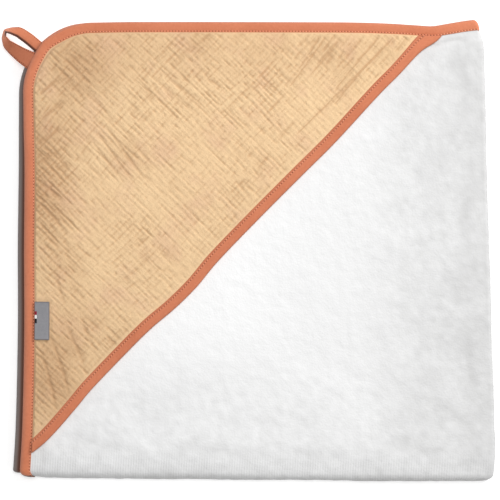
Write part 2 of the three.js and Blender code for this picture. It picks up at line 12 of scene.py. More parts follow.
import bpy
import numpy as np
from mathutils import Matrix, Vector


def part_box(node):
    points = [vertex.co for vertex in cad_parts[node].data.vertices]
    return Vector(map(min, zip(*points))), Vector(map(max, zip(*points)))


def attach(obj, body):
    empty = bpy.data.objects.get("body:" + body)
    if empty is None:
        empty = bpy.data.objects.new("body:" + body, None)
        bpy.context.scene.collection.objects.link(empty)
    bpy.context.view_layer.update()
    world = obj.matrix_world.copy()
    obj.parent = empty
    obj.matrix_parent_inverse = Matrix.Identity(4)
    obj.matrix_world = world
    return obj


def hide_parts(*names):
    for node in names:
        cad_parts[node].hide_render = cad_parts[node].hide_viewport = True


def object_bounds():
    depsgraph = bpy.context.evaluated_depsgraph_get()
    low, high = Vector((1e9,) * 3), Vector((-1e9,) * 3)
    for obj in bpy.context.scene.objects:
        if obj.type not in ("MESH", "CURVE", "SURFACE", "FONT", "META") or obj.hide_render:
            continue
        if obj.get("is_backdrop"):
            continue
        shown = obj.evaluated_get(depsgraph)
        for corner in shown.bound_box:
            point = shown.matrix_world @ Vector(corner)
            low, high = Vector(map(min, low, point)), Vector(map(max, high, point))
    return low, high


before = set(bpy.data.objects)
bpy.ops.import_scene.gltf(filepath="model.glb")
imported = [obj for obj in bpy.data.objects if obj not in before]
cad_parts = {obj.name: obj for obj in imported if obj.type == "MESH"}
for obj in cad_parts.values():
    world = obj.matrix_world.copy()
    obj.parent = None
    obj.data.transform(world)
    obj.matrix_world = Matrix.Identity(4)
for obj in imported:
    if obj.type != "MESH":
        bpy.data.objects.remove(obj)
cad_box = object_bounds()
print("solids:", sorted(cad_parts))

# %% [markdown]
# ## Sizes
# The pieces are easiest to think of flat, before folding. u runs across the open towel from its left bound
# edge, and v runs down from its top bound edge. A short list of sizes says where the cloth turns over, and
# a few small tables say how the folded outline wanders from straight lines. Towards both folds the loose
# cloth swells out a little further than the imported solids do.

# %% Sizes of the open towel, in millimetres
MM = 0.001
TERRY_WALL = 3.0
LAYER_PITCH = 3.6
SEAM_GAP = 0.3
CORNER_RADIUS = 60.0
ACROSS_TO_FOLD = 390.0
DOWN_TO_FOLD = 380.0
OVERSHOOT_LEFT = 6.3
OVERSHOOT_TOP = -1.5
TOP_LAYER_HEIGHT = TERRY_WALL / 2 + 3 * LAYER_PITCH
STACK_MIDDLE = (TOP_LAYER_HEIGHT + TERRY_WALL / 2) / 2
SIDE_FOLD_RADIUS = LAYER_PITCH / 2
END_FOLD_RADIUS = TOP_LAYER_HEIGHT - STACK_MIDDLE
SIDE_HALF_TURN = math.pi * SIDE_FOLD_RADIUS
END_HALF_TURN = math.pi * END_FOLD_RADIUS
ACROSS = 2 * ACROSS_TO_FOLD + SIDE_HALF_TURN + OVERSHOOT_LEFT
DOWN = 2 * DOWN_TO_FOLD + END_HALF_TURN + OVERSHOOT_TOP
PAST_FOLD = {"side": 10.0, "end": 8.0}
SIDE_SPLIT = ACROSS_TO_FOLD + SIDE_HALF_TURN + PAST_FOLD["side"]
END_SPLIT = DOWN_TO_FOLD + END_HALF_TURN + PAST_FOLD["end"]
STRAIGHT_LEFT = -192.5
STRAIGHT_TOP = 193.0
SIDE_SETTLING = (36.0, 0.12)
END_SETTLING = (14.0, 0.06)
FOLD_END_ROUNDING = {"left": 6.0, "right": 8.0, "width": 40.0}
CORNER_BULGE = {"out": 1.5, "angle": 0.80, "spread": 0.17, "from": 10.0}
FOLD_SWELL = {"side": 1.4, "end": 0.8, "over": 60.0}
LOWER_LAYERS_IN = [(-200, 0.3), (-60, 0.5), (60, 0.9), (110, 1.9), (150, 2.6), (200, 3.0)]
LOWER_LAYERS_FADE = 80.0
print(f"open towel {ACROSS:.0f} by {DOWN:.0f} mm, folded to {ACROSS_TO_FOLD:.0f} by {DOWN_TO_FOLD:.0f} mm")

# %% The folded outline, as places and how far out the edge lies there
LEFT_EDGE = [(-195, -195.4), (-152, -192.8), (-68, -191.1), (0, -191.3), (68, -190.9), (105, -191.6),
             (195, -192.8)]
TOP_EDGE = [(-195, 191.5), (-160, 191.9), (-130, 192.5), (-95, 193.0), (68, 192.8), (100, 192.5),
            (127, 191.6), (150, 190.2), (163, 189.5), (175, 191.4), (190, 194.0), (200, 195.2)]
RIGHT_FOLD = [(-196, 203.5), (-184, 205.3), (-152, 206.2), (-68, 203.6), (68, 199.4), (141, 197.7),
              (171, 196.4), (186, 193.0), (195, 189.6)]
BOTTOM_FOLD = [(-200, -191.8), (-127, -193.1), (0, -194.4), (85, -195.0), (206, -195.2)]
HOOD_EDGE_WAVES = [(0.0, 0.8), (0.03, -0.5), (0.06, -1.8), (0.12, -0.9), (0.16, -1.1), (0.27, 0.1),
                   (0.35, -1.0), (0.45, -1.9), (0.55, -1.7), (0.6, 0.3), (0.65, -0.2), (0.7, -2.6),
                   (0.76, -2.9), (0.84, -1.9), (0.88, 0.3), (0.95, 2.7), (1.0, 0.0)]


def line_through(rows, places):
    """A smooth line through the rows of a table, read at the given places."""
    at, value = np.array(rows, float).T
    slope = np.gradient(value, at)
    slope[1:-1] = (value[2:] - value[:-2]) / (at[2:] - at[:-2])
    i = np.clip(np.searchsorted(at, places, side="left") - 1, 0, len(at) - 2)
    span = at[i + 1] - at[i]
    t = np.clip((places - at[i]) / span, 0, 1)
    lean = t * (1 - t) * span * ((1 - t) * slope[i] - t * slope[i + 1])
    return value[i] + (value[i + 1] - value[i]) * t * t * (3 - 2 * t) + lean


def smoothstep(x, low, high):
    """0 below low, 1 above high, smooth between."""
    t = np.clip((x - low) / (high - low), 0, 1)
    return t * t * (3 - 2 * t)


def bell(x, width):
    """1 where x is 0, falling smoothly to almost nothing at about twice the width."""
    return np.exp(-((x / width) ** 2))


print("the left edge leans", round(float(line_through(LEFT_EDGE, -152.0)), 1), "mm at its lower end")

# %% [markdown]
# ## Folding the cloth
# One function carries a point of the open towel into the folded stack. The cloth turns over at the right
# fold on a small radius and at the bottom fold on a larger one, because the second fold goes round the
# first. As every piece goes through this function, pieces that are sewn together on the flat towel stay
# together once it is folded.

# %% Where a place lies round a fold


def turn_over(place, to_fold, radius):
    """How far a place lies from the bound edge on its own layer, and its angle round the turn."""
    past = place - to_fold
    half_turn = math.pi * radius
    beyond = to_fold - (past - half_turn)
    flat = np.where(past <= 0, place, np.where(past < half_turn, to_fold, beyond))
    return flat, np.clip(past / radius, 0, math.pi)


def corner_push(u, v):
    """How far the loop's seam draws the visible layer's rounded corner outwards."""
    from_u, from_v = CORNER_RADIUS - u, CORNER_RADIUS - v
    angle = np.arctan2(from_v, from_u)
    near = bell(angle - CORNER_BULGE["angle"], CORNER_BULGE["spread"])
    is_corner = (from_u > 0) & (from_v > 0)
    outer = smoothstep(np.hypot(from_u, from_v), CORNER_BULGE["from"], CORNER_RADIUS)
    return CORNER_BULGE["out"] * near * is_corner * outer


print(f"the side fold takes {SIDE_HALF_TURN:.1f} mm of cloth, and the end fold {END_HALF_TURN:.1f} mm")

# %% Fold a point of the open towel into the stack


def fold(u, v, out):
    """Where points of the open towel lie once folded. out is the height over the cloth's middle."""
    side_flat, side_angle = turn_over(u, ACROSS_TO_FOLD, SIDE_FOLD_RADIUS)
    end_flat, end_angle = turn_over(v, DOWN_TO_FOLD, END_FOLD_RADIUS)
    rough_x = STRAIGHT_LEFT + side_flat
    rough_y = STRAIGHT_TOP - end_flat
    side_axis = line_through(RIGHT_FOLD, rough_y) - SIDE_FOLD_RADIUS - TERRY_WALL / 2
    end_axis = line_through(BOTTOM_FOLD, rough_x) + END_FOLD_RADIUS + TERRY_WALL / 2
    side_reach = SIDE_FOLD_RADIUS + out
    above_middle = END_FOLD_RADIUS - SIDE_FOLD_RADIUS + side_reach * np.cos(side_angle)
    past_axis = above_middle * np.sin(end_angle)

    left = line_through(LEFT_EDGE, rough_y)
    top = line_through(TOP_EDGE, rough_x)
    x = left + (side_axis - left) * side_flat / ACROSS_TO_FOLD + side_reach * np.sin(side_angle)
    y = top + (end_axis - top) * end_flat / DOWN_TO_FOLD - past_axis

    rounding = FOLD_END_ROUNDING
    outermost = np.clip(past_axis / (END_FOLD_RADIUS + TERRY_WALL / 2), 0, 1)
    at_left = 1 - smoothstep(side_flat, 0, rounding["width"])
    at_right = smoothstep(side_flat, ACROSS_TO_FOLD - rounding["width"], ACROSS_TO_FOLD)
    x = x + (1 - np.sqrt(1 - outermost**2)) * (rounding["left"] * at_left - rounding["right"] * at_right)

    x = x + FOLD_SWELL["side"] * smoothstep(side_flat, ACROSS_TO_FOLD - FOLD_SWELL["over"], ACROSS_TO_FOLD)
    y = y - FOLD_SWELL["end"] * smoothstep(end_flat, DOWN_TO_FOLD - FOLD_SWELL["over"], DOWN_TO_FOLD)
    is_turned = side_angle >= math.pi
    lower_in = line_through(LOWER_LAYERS_IN, rough_y) * (1 - smoothstep(side_flat, 0, LOWER_LAYERS_FADE))
    x = x + is_turned * lower_in
    push = corner_push(u, v)
    x = x - push * np.cos(CORNER_BULGE["angle"])
    y = y + push * np.sin(CORNER_BULGE["angle"])

    side_settled = smoothstep(side_flat, ACROSS_TO_FOLD - SIDE_SETTLING[0], ACROSS_TO_FOLD)
    end_settled = smoothstep(end_flat, DOWN_TO_FOLD - END_SETTLING[0], DOWN_TO_FOLD)
    settled = 1 - SIDE_SETTLING[1] * side_settled - END_SETTLING[1] * end_settled
    z = (STACK_MIDDLE + above_middle * np.cos(end_angle)) * settled
    return np.stack([x, y, z], axis=-1)


print("the visible layer's middle lies at", np.round(fold(np.array(200.0), np.array(200.0), 0.0), 1))

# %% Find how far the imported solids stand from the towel's own middle
FOLD_STEPS = {"side": 12, "end": 16}
MEASURED_FROM = 20.0
MEASURING_PITCH = 2.0


def spaced(start, end, pitch, extra=()):
    """Places from start to end about a pitch apart, with extra places put in between."""
    steps = max(1, round((end - start) / pitch))
    places = np.concatenate([np.linspace(start, end, steps + 1), np.array(extra, float)])
    places = places[(places >= start) & (places <= end)]
    return np.unique(np.round(places, 3))


SIDE_TURN = np.linspace(ACROSS_TO_FOLD, ACROSS_TO_FOLD + SIDE_HALF_TURN, FOLD_STEPS["side"] + 1)
END_TURN = np.linspace(DOWN_TO_FOLD, DOWN_TO_FOLD + END_HALF_TURN, FOLD_STEPS["end"] + 1)

turned_u, turned_v = np.meshgrid(
    spaced(MEASURED_FROM, SIDE_SPLIT, MEASURING_PITCH, SIDE_TURN),
    spaced(MEASURED_FROM, END_SPLIT, MEASURING_PITCH, END_TURN),
)
top_layer = fold(turned_u, turned_v, TERRY_WALL / 2).reshape(-1, 3)
node_low, node_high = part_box("terry_top_layer")
FOLDED_RIGHT = top_layer[:, 0].max() - FOLD_SWELL["side"]
FOLDED_BOTTOM = top_layer[:, 1].min() + FOLD_SWELL["end"]
SHIFT = np.array([node_high.x / MM - FOLDED_RIGHT, node_low.y / MM - FOLDED_BOTTOM, 0.0])
print("the packed solids stand", np.round(SHIFT, 2), "mm from the towel's own middle")

# %% [markdown]
# ## Turning flat cells into a sheet of cloth
# A sheet needs two faces and a rim, so that it is closed and has a real thickness. It could be one face
# with a Solidify modifier, but here the two faces differ: the front carries the creases and the back is
# plain. So the sheet is built from flat cells, with one function for each face. Its flat coordinates are
# kept as its UV map, so that a weave follows the cloth round every fold.

# %% Make a piece from points and faces


def new_piece(name, points, faces, uvs, attributes=None):
    """A smooth mesh object from points in millimetres. uvs holds one pair in metres for each face corner."""
    mesh = bpy.data.meshes.new(name)
    mesh.from_pydata(((points + SHIFT) * MM).tolist(), [], faces)
    mesh.uv_layers.new(name="flat").data.foreach_set("uv", np.asarray(uvs, np.float32).ravel())
    for key, values in (attributes or {}).items():
        layer = mesh.attributes.new(key, "FLOAT", "POINT")
        layer.data.foreach_set("value", np.asarray(values, np.float32))
    mesh.polygons.foreach_set("use_smooth", [True] * len(mesh.polygons))
    mesh.validate()
    piece = bpy.data.objects.new(name, mesh)
    bpy.context.scene.collection.objects.link(piece)
    return piece


def turned_outwards(points, faces):
    """The faces, all turned round if they enclose a negative volume."""
    fans = [(face[0], b, c) for face in faces for b, c in zip(face[1:-1], face[2:])]
    a, b, c = points[np.array(fans).T]
    volume = float((a * np.cross(b, c)).sum())
    return faces if volume > 0 else [face[::-1] for face in faces]


def triangles_of(piece):
    """How many triangles a piece has."""
    return sum(len(face.vertices) - 2 for face in piece.data.polygons)


print("pieces are moved by", np.round(SHIFT * MM, 4), "m as they are made")

# %% Build a sheet over flat cells


def cells_between(us, vs, keep=None):
    """Rectangular cells between two lists of places, as corners, without those whose middle isn't kept."""
    left, upper = np.meshgrid(us[:-1], vs[:-1], indexing="ij")
    right, lower = np.meshgrid(us[1:], vs[1:], indexing="ij")
    cells = np.stack([left, upper, left, lower, right, lower, right, upper], -1).reshape(-1, 4, 2)
    if keep is None:
        return cells
    middles = cells.mean(axis=1)
    return cells[keep(middles[:, 0], middles[:, 1])]


def cloth_sheet(name, cells, front, back, measure=None):
    """A closed sheet over flat cells. front and back give both faces, and measure gives named attributes."""
    flat, numbers = np.unique(np.round(cells.reshape(-1, 2), 3), axis=0, return_inverse=True)
    p, q = flat.T
    points = np.concatenate([front(p, q), back(p, q)])
    count = len(flat)
    faces = []
    edges = set()
    for ring in numbers.reshape(-1, 4).tolist():
        ring = [corner for k, corner in enumerate(ring) if corner != ring[k - 1]]
        if len(ring) < 3:
            continue
        faces.append(ring)
        faces.append([count + corner for corner in reversed(ring)])
        edges.update(zip(ring, ring[1:] + ring[:1]))
    faces += [[b, a, count + a, count + b] for a, b in sorted(edges) if (b, a) not in edges]
    faces = turned_outwards(points, faces)
    uvs = [flat[corner % count] * MM for face in faces for corner in face]
    measured = {key: np.tile(values, 2) for key, values in (measure(p, q) if measure else {}).items()}
    return new_piece(name, points, faces, uvs, measured)


print("places 0, 1 and 2 by 0 and 1 make", len(cells_between([0, 1, 2], [0, 1])), "cells")

# %% Sweep a section along a line


def swept_strip(name, sections, along, across, is_ring, attributes=None):
    """A closed strip through sections that each have the same points in the same order."""
    stations, size = sections.shape[:2]
    faces = []
    uvs = []
    last = stations if is_ring else stations - 1
    for i in range(last):
        nexts = (i + 1) % stations
        end = along[i + 1]
        for k in range(size):
            m = (k + 1) % size
            faces.append([i * size + k, nexts * size + k, nexts * size + m, i * size + m])
            uvs.append([(along[i], across[k]), (end, across[k]), (end, across[m]), (along[i], across[m])])
    if not is_ring:
        for first, place, ring in ((0, 0, range(size)), ((stations - 1) * size, -1, reversed(range(size)))):
            ring = list(ring)
            faces.append([first + k for k in ring])
            uvs.append([(along[place], across[k]) for k in ring])
    points = sections.reshape(-1, 3)
    turned = turned_outwards(points, faces)
    if turned is not faces:
        uvs = [corner[::-1] for corner in uvs]
    return new_piece(name, points, turned, [pair for face in uvs for pair in face], attributes)


print("helpers ready: new_piece, cloth_sheet and swept_strip")

# %% [markdown]
# ## Unevenness
# Real cloth never repeats, but a script has to give the same towel on every run. A lattice of random
# numbers with a fixed seed, read smoothly between its points, gives waves of any size. Main creases are
# listed in a table instead, because those are what the eye remembers.

# %% Smooth noise
LATTICE = 256


def noise(x, y, cell, seed):
    """Smooth noise from -1 to 1, with hills about a cell apart, the same on every run."""
    lattice = np.random.default_rng(seed).uniform(-1, 1, (LATTICE, LATTICE))
    px, py = x / cell, y / cell
    i, j = np.floor(px).astype(int), np.floor(py).astype(int)
    fx, fy = smoothstep(px - i, 0, 1), smoothstep(py - j, 0, 1)

    def at(a, b):
        return lattice[(i + a) % LATTICE, (j + b) % LATTICE]

    upper = at(0, 0) * (1 - fx) + at(1, 0) * fx
    lower = at(0, 1) * (1 - fx) + at(1, 1) * fx
    return upper * (1 - fy) + lower * fy


def waves(x, y, rows):
    """The sum of several noises. Each row gives a height, the size of its hills and a seed."""
    return sum(height * noise(x, y, cell, seed) for height, cell, seed in rows)


def streaks(across, along, rows, seed):
    """The sum of several drawn-out noises. Each row gives a height, a factor each way, a size and a seed."""
    return sum(height * noise(across * a, along * b, cell, seed + more) for height, a, b, cell, more in rows)


def ramps(x, rows):
    """The sum of several smooth ramps. Each row gives a height, and where the ramp starts and ends."""
    return sum(height * smoothstep(x, start, end) for height, start, end in rows)


sample = noise(np.arange(500.0), np.zeros(500), 6.0, 1)
print(f"noise runs from {sample.min():.2f} to {sample.max():.2f}")

# %% Creases from a table
CREASE_FADE = 0.3


def creased(u, v, rows):
    """The height that a table of creases adds. A negative height is a trough, a positive one a ridge."""
    total = np.zeros_like(u)
    for row in rows:
        (u0, v0), (u1, v1) = row["start"], row["end"]
        length = math.hypot(u1 - u0, v1 - v0)
        du, dv = (u1 - u0) / length, (v1 - v0) / length
        along = (u - u0) * du + (v - v0) * dv
        bend = row.get("bend", 0) * np.sin(np.clip(along / length, 0, 1) * math.pi)
        off = (v - v0) * du - (u - u0) * dv - bend
        fade = row.get("fade", CREASE_FADE) * length
        ends = smoothstep(along, 0, fade) * (1 - smoothstep(along, length - fade, length))
        total += row["height"] * ends * bell(off, row["width"])
    return total


def spots(u, v, rows, key):
    """For each row of a table of round patches, its value for the key and how near a place is to it."""
    for row in rows:
        near = bell(np.hypot(u - row["at"][0], v - row["at"][1]), row["reach"])
        yield row[key], near


one_crease = [{"start": (0, 0), "end": (10, 0), "height": -1.0, "width": 1.0}]
crease_middle = creased(np.array([5.0]), np.array([0.0]), one_crease)
print("a crease 1 mm deep reads", float(crease_middle[0]), "at its middle")

# %% [markdown]
# ## The terry
# Terry is a ground weave with loops standing on both faces. It is soft and thick, so it shows no sharp
# line: only a mottled pile, and a few shallow troughs where the layers below pull at it. Its edge is
# squeezed thin where the bias strip grips it. The mottling and the troughs are in the mesh, and the single
# loops are left to the material. The underside, which lies on the table, has broad shallow creases of its
# own.

# %% The terry's thickness
BINDING = {"cloth": 0.6, "width": 8.8, "thickness": 3.0, "turn": 2.0}
LIP = {"thickness": 1.2, "inset": 1.6, "end": 9.6, "full": 20.0}
HOOD = {"across": 365.0, "down": 373.0, "wall": 1.2, "binding": 9.6}
SLANT = math.hypot(HOOD["across"], HOOD["down"])


def edge_distance(u, v):
    """Distance from the nearest bound edge of the open towel, round its rounded corners."""
    across = np.minimum(u, ACROSS - u)
    down = np.minimum(v, DOWN - v)
    corner = CORNER_RADIUS - np.hypot(CORNER_RADIUS - across, CORNER_RADIUS - down)
    return np.where((across < CORNER_RADIUS) & (down < CORNER_RADIUS), corner, np.minimum(across, down))


def pile(u, v):
    """Half the terry's thickness."""
    share = np.clip((edge_distance(u, v) - LIP["end"]) / (LIP["full"] - LIP["end"]), 0, 1)
    return LIP["thickness"] / 2 + (TERRY_WALL - LIP["thickness"]) / 2 * share


def outside_hood(u, v):
    """How far a point lies outside the hood's slanted edge. It is negative under the hood."""
    return (u / HOOD["across"] + v / HOOD["down"] - 1) * HOOD["across"] * HOOD["down"] / SLANT


print("pile is", float(pile(np.array(200.0), np.array(200.0)) * 2), "mm thick in the open")

# %% The terry's creases
TERRY_CREASES = [
    {"start": (346, 18), "end": (382, 15.5), "height": -0.9, "width": 1.7, "bend": -3.2},
    {"start": (372, 28), "end": (379, 66), "height": -0.45, "width": 4.0},
    {"start": (366, 78), "end": (374, 128), "height": 0.35, "width": 5.0},
    {"start": (376, 140), "end": (371, 190), "height": -0.4, "width": 4.5},
    {"start": (352, 205), "end": (376, 243), "height": -0.3, "width": 6.0, "bend": 3.0},
    {"start": (370, 262), "end": (377, 318), "height": -0.45, "width": 4.5},
    {"start": (336, 318), "end": (374, 346), "height": -0.5, "width": 5.0, "bend": -4.0},
    {"start": (300, 352), "end": (352, 366), "height": -0.35, "width": 5.0},
    {"start": (214, 360), "end": (282, 367), "height": -0.3, "width": 4.5},
    {"start": (122, 358), "end": (196, 366), "height": -0.35, "width": 5.0},
    {"start": (38, 350), "end": (92, 365), "height": -0.4, "width": 5.0},
    {"start": (16, 352), "end": (21, 378), "height": -0.5, "width": 3.0},
    {"start": (84, 318), "end": (120, 330), "height": -0.25, "width": 7.0},
    {"start": (226, 196), "end": (262, 250), "height": 0.2, "width": 14.0},
]

UNDERSIDE_CREASES = [
    {"start": (64, 470), "end": (214, 428), "height": -1.1, "width": 8.0, "bend": 6.0},
    {"start": (248, 512), "end": (362, 604), "height": -1.3, "width": 9.0, "bend": -7.0},
    {"start": (118, 596), "end": (246, 684), "height": -1.0, "width": 7.5, "bend": 5.0},
    {"start": (296, 446), "end": (376, 418), "height": -0.9, "width": 7.0},
    {"start": (52, 704), "end": (152, 652), "height": -0.9, "width": 7.0, "bend": -4.0},
    {"start": (206, 744), "end": (338, 696), "height": -1.0, "width": 8.0, "bend": 5.0},
    {"start": (170, 520), "end": (196, 590), "height": -0.7, "width": 7.0},
]

print("creases:", len(TERRY_CREASES), "on top and", len(UNDERSIDE_CREASES), "below")

# %% The terry's two faces
TERRY_MOTTLING = [(0.20, 3.4, 21), (0.16, 7.5, 22), (0.22, 24, 23), (0.5, 75, 24)]
CLEAR_OF_STRIP = (LIP["end"], 12.5)
CLEAR_OF_HOOD = (1.0, 7.0)


def terry_relief(u, v):
    """How far the pile stands above or below its mean on the face that shows."""
    clear = smoothstep(edge_distance(u, v), *CLEAR_OF_STRIP) * smoothstep(outside_hood(u, v), *CLEAR_OF_HOOD)
    return (waves(u, v, TERRY_MOTTLING) + creased(u, v, TERRY_CREASES)) * clear


def rounded_in(u, v):
    """Moves points of the open towel's square corners inside its rounded ones."""
    near_u, near_v = np.minimum(u, ACROSS - u), np.minimum(v, DOWN - v)
    a, b = CORNER_RADIUS - near_u, CORNER_RADIUS - near_v
    is_corner = (a > 0) & (b > 0)
    scale = np.where(is_corner, np.maximum(a, b) / np.maximum(np.hypot(a, b), 1e-6), 1)
    new_u, new_v = CORNER_RADIUS - a * scale, CORNER_RADIUS - b * scale
    return (
        np.where(is_corner, np.where(u < ACROSS / 2, new_u, ACROSS - new_u), u),
        np.where(is_corner, np.where(v < DOWN / 2, new_v, DOWN - new_v), v),
    )


def terry_front(u, v):
    """The face of the terry that carries the hood."""
    u, v = rounded_in(u, v)
    return fold(u, v, pile(u, v) + terry_relief(u, v))


def terry_back(u, v):
    """The terry's other face."""
    u, v = rounded_in(u, v)
    return fold(u, v, -pile(u, v))


def under_front(u, v):
    """The face that turns up or down on the three lower layers. It lies creased on the table."""
    u, v = rounded_in(u, v)
    return fold(u, v, pile(u, v) + creased(u, v, UNDERSIDE_CREASES))


open_places = np.linspace(100.0, 300.0, 50)
open_relief = terry_relief(open_places + 100, open_places + 60)
print(f"the relief runs from {open_relief.min():.2f} to {open_relief.max():.2f} mm in the open")

# %% Marks for the terry's material
RIBBED = (DOWN_TO_FOLD - 26, DOWN_TO_FOLD - 4)
# Painted shade: the pile is greyer towards both folds, in mottled patches there and in the creases' troughs
FOLD_SHADE = {
    "side": [(0.42, 170, 270), (0.78, 265, 360), (0.28, 360, 374)],
    "end": [(0.50, 250, 335), (0.32, 352, 368), (1.5, 371, 392)],
    "upper": {"share": 0.2, "from": (300, 365), "to": (60, 140)},
    "patches": [(0.16, 16, 25), (0.22, 5.0, 26), (0.12, 2.6, 27)],
    "in_troughs": 0.8,
    "most": 2.2,
}
SHADE_PATCHES_FROM = {"side": (250, 350), "end": (260, 350)}
FOLD_LINE_SHADE = {"side": 0.7, "side_width": 1.1, "end": 0.55, "end_more": [(0.45, 120, 330)], "end_width": 2.3}


def pile_marks(u, v):
    """The marks the terry's material reads: rows of loops, painted shade near the folds and a painted dark
    line on them.
    """
    side = ramps(u, FOLD_SHADE["side"])
    end = ramps(v, FOLD_SHADE["end"])
    corner = FOLD_SHADE["upper"]
    upper = corner["share"] * smoothstep(u, *corner["from"]) * (1 - smoothstep(v, *corner["to"]))
    # Mottled patches of painted shade towards the folds
    loose = np.maximum(smoothstep(u, *SHADE_PATCHES_FROM["side"]), smoothstep(v, *SHADE_PATCHES_FROM["end"]))
    patches = waves(u, v, FOLD_SHADE["patches"]) * loose
    troughs = np.clip(-FOLD_SHADE["in_troughs"] * creased(u, v, TERRY_CREASES), 0, 1)
    opened = np.clip(np.maximum(side + upper, end) + patches + troughs, 0, FOLD_SHADE["most"])
    # Painted shade: a soft dark line where the cloth turns down at each fold
    side_turn = FOLD_LINE_SHADE["side"] * bell(u - ACROSS_TO_FOLD - SIDE_HALF_TURN / 2, FOLD_LINE_SHADE["side_width"])
    end_share = FOLD_LINE_SHADE["end"] + ramps(u, FOLD_LINE_SHADE["end_more"])
    end_turn = end_share * bell(v - DOWN_TO_FOLD - END_HALF_TURN / 2, FOLD_LINE_SHADE["end_width"])
    return {"ribs": smoothstep(v, *RIBBED), "opened": opened, "turned": np.maximum(side_turn, end_turn)}


at_middle = pile_marks(np.array(200.0), np.array(300.0))
print("marks on the visible layer:", {key: round(float(value), 2) for key, value in at_middle.items()})

# %% The visible layer and the three layers under it
TOP_PITCH = 2.0
UNDER_PITCH = 6.0
NEAR_SIDE_FOLD = [385, 387.5, 398, 401, 404]
NEAR_END_FOLD = [370, 374, 377, 400, 403, 406]
UNDER_EXTRA_ACROSS = [*SIDE_TURN, LIP["end"], LIP["full"], *NEAR_SIDE_FOLD, SIDE_SPLIT + SEAM_GAP]
UNDER_EXTRA_DOWN = [*END_TURN, LIP["end"], LIP["full"], *NEAR_END_FOLD, END_SPLIT + SEAM_GAP]

terry_top = cloth_sheet(
    "terry_top",
    cells_between(
        spaced(LIP["inset"], SIDE_SPLIT, TOP_PITCH, SIDE_TURN),
        spaced(LIP["inset"], END_SPLIT, TOP_PITCH, END_TURN),
    ),
    terry_front,
    terry_back,
    pile_marks,
)


def is_under(u, v):
    """Whether a point of the open towel is in one of the three lower layers."""
    return (u > SIDE_SPLIT + SEAM_GAP) | (v > END_SPLIT + SEAM_GAP)


terry_under = cloth_sheet(
    "terry_under",
    cells_between(
        spaced(LIP["inset"], ACROSS - LIP["inset"], UNDER_PITCH, UNDER_EXTRA_ACROSS),
        spaced(LIP["inset"], DOWN - LIP["inset"], UNDER_PITCH, UNDER_EXTRA_DOWN),
        is_under,
    ),
    under_front,
    terry_back,
    pile_marks,
)
print("terry:", triangles_of(terry_top), "and", triangles_of(terry_under), "triangles")

# %% [markdown]
# ## The gauze hood
# Double gauze is two thin open weaves caught together every few millimetres. Washing shrinks it, so it
# stands up in small puffs between narrow furrows. A picture of that would lie flat, so the furrows are in
# the mesh. Two sets run square to the slanted edge and two along it, each way a main set and a fine one.
# Each furrow fades in and out, and a table says where the photo shows them deep and where nearly flat.

# %% Where the hood lies on the open towel
SLANT_IN = (-HOOD["down"] / SLANT, -HOOD["across"] / SLANT)
HOOD_CLEAR = BINDING["width"] + SEAM_GAP + 0.1
SETTLING_ROUNDS = 4


def hood_point(share, inset):
    """A point of the hood, by share of the way down its slanted edge and inset from that edge."""
    start = np.zeros_like(share)
    end = np.ones_like(share)
    for _ in range(SETTLING_ROUNDS):
        start = (HOOD_CLEAR - SLANT_IN[1] * (inset - line_through(HOOD_EDGE_WAVES, start))) / HOOD["down"]
        end = 1 - (HOOD_CLEAR - SLANT_IN[0] * (inset - line_through(HOOD_EDGE_WAVES, end))) / HOOD["across"]
    along = start + (end - start) * share
    reach = inset - line_through(HOOD_EDGE_WAVES, along)
    return HOOD["across"] * (1 - along) + SLANT_IN[0] * reach, HOOD["down"] * along + SLANT_IN[1] * reach


TUCK = {"under": 0.8, "front": 0.86, "back": 0.64, "from": 1.1, "to": 3.6}


def hood_reach(u, v):
    """How far the hood runs from a point of its slanted edge, square to it, to the edge binding."""
    limit = BINDING["width"] - TUCK["under"]
    straight = np.minimum((u - limit) / -SLANT_IN[0], (v - limit) / -SLANT_IN[1])
    is_square = (u + SLANT_IN[0] * straight > CORNER_RADIUS) | (v + SLANT_IN[1] * straight > CORNER_RADIUS)
    from_u, from_v = u - CORNER_RADIUS, v - CORNER_RADIUS
    towards = -(from_u * SLANT_IN[0] + from_v * SLANT_IN[1])
    offset = from_u**2 + from_v**2 - towards**2
    turned = towards + np.sqrt(np.maximum((CORNER_RADIUS - limit) ** 2 - offset, 0))
    return np.where(is_square, straight, turned)


print("the slanted edge is", round(SLANT), "mm long")

# %% The crinkles, as tables
FURROWS = {
    "square": {"pitch": 5.1, "depth": 0.95, "spacing": 1.8, "drift": 1.3, "dash": 7.5, "width": 0.62},
    "along": {"pitch": 4.2, "depth": 0.90, "spacing": 1.3, "drift": 1.0, "dash": 5.5, "width": 0.60},
    "fine square": {"pitch": 3.3, "depth": 0.42, "spacing": 1.3, "drift": 0.8, "dash": 5.0, "width": 0.55},
    "fine along": {"pitch": 2.9, "depth": 0.36, "spacing": 1.2, "drift": 0.8, "dash": 4.0, "width": 0.55},
}

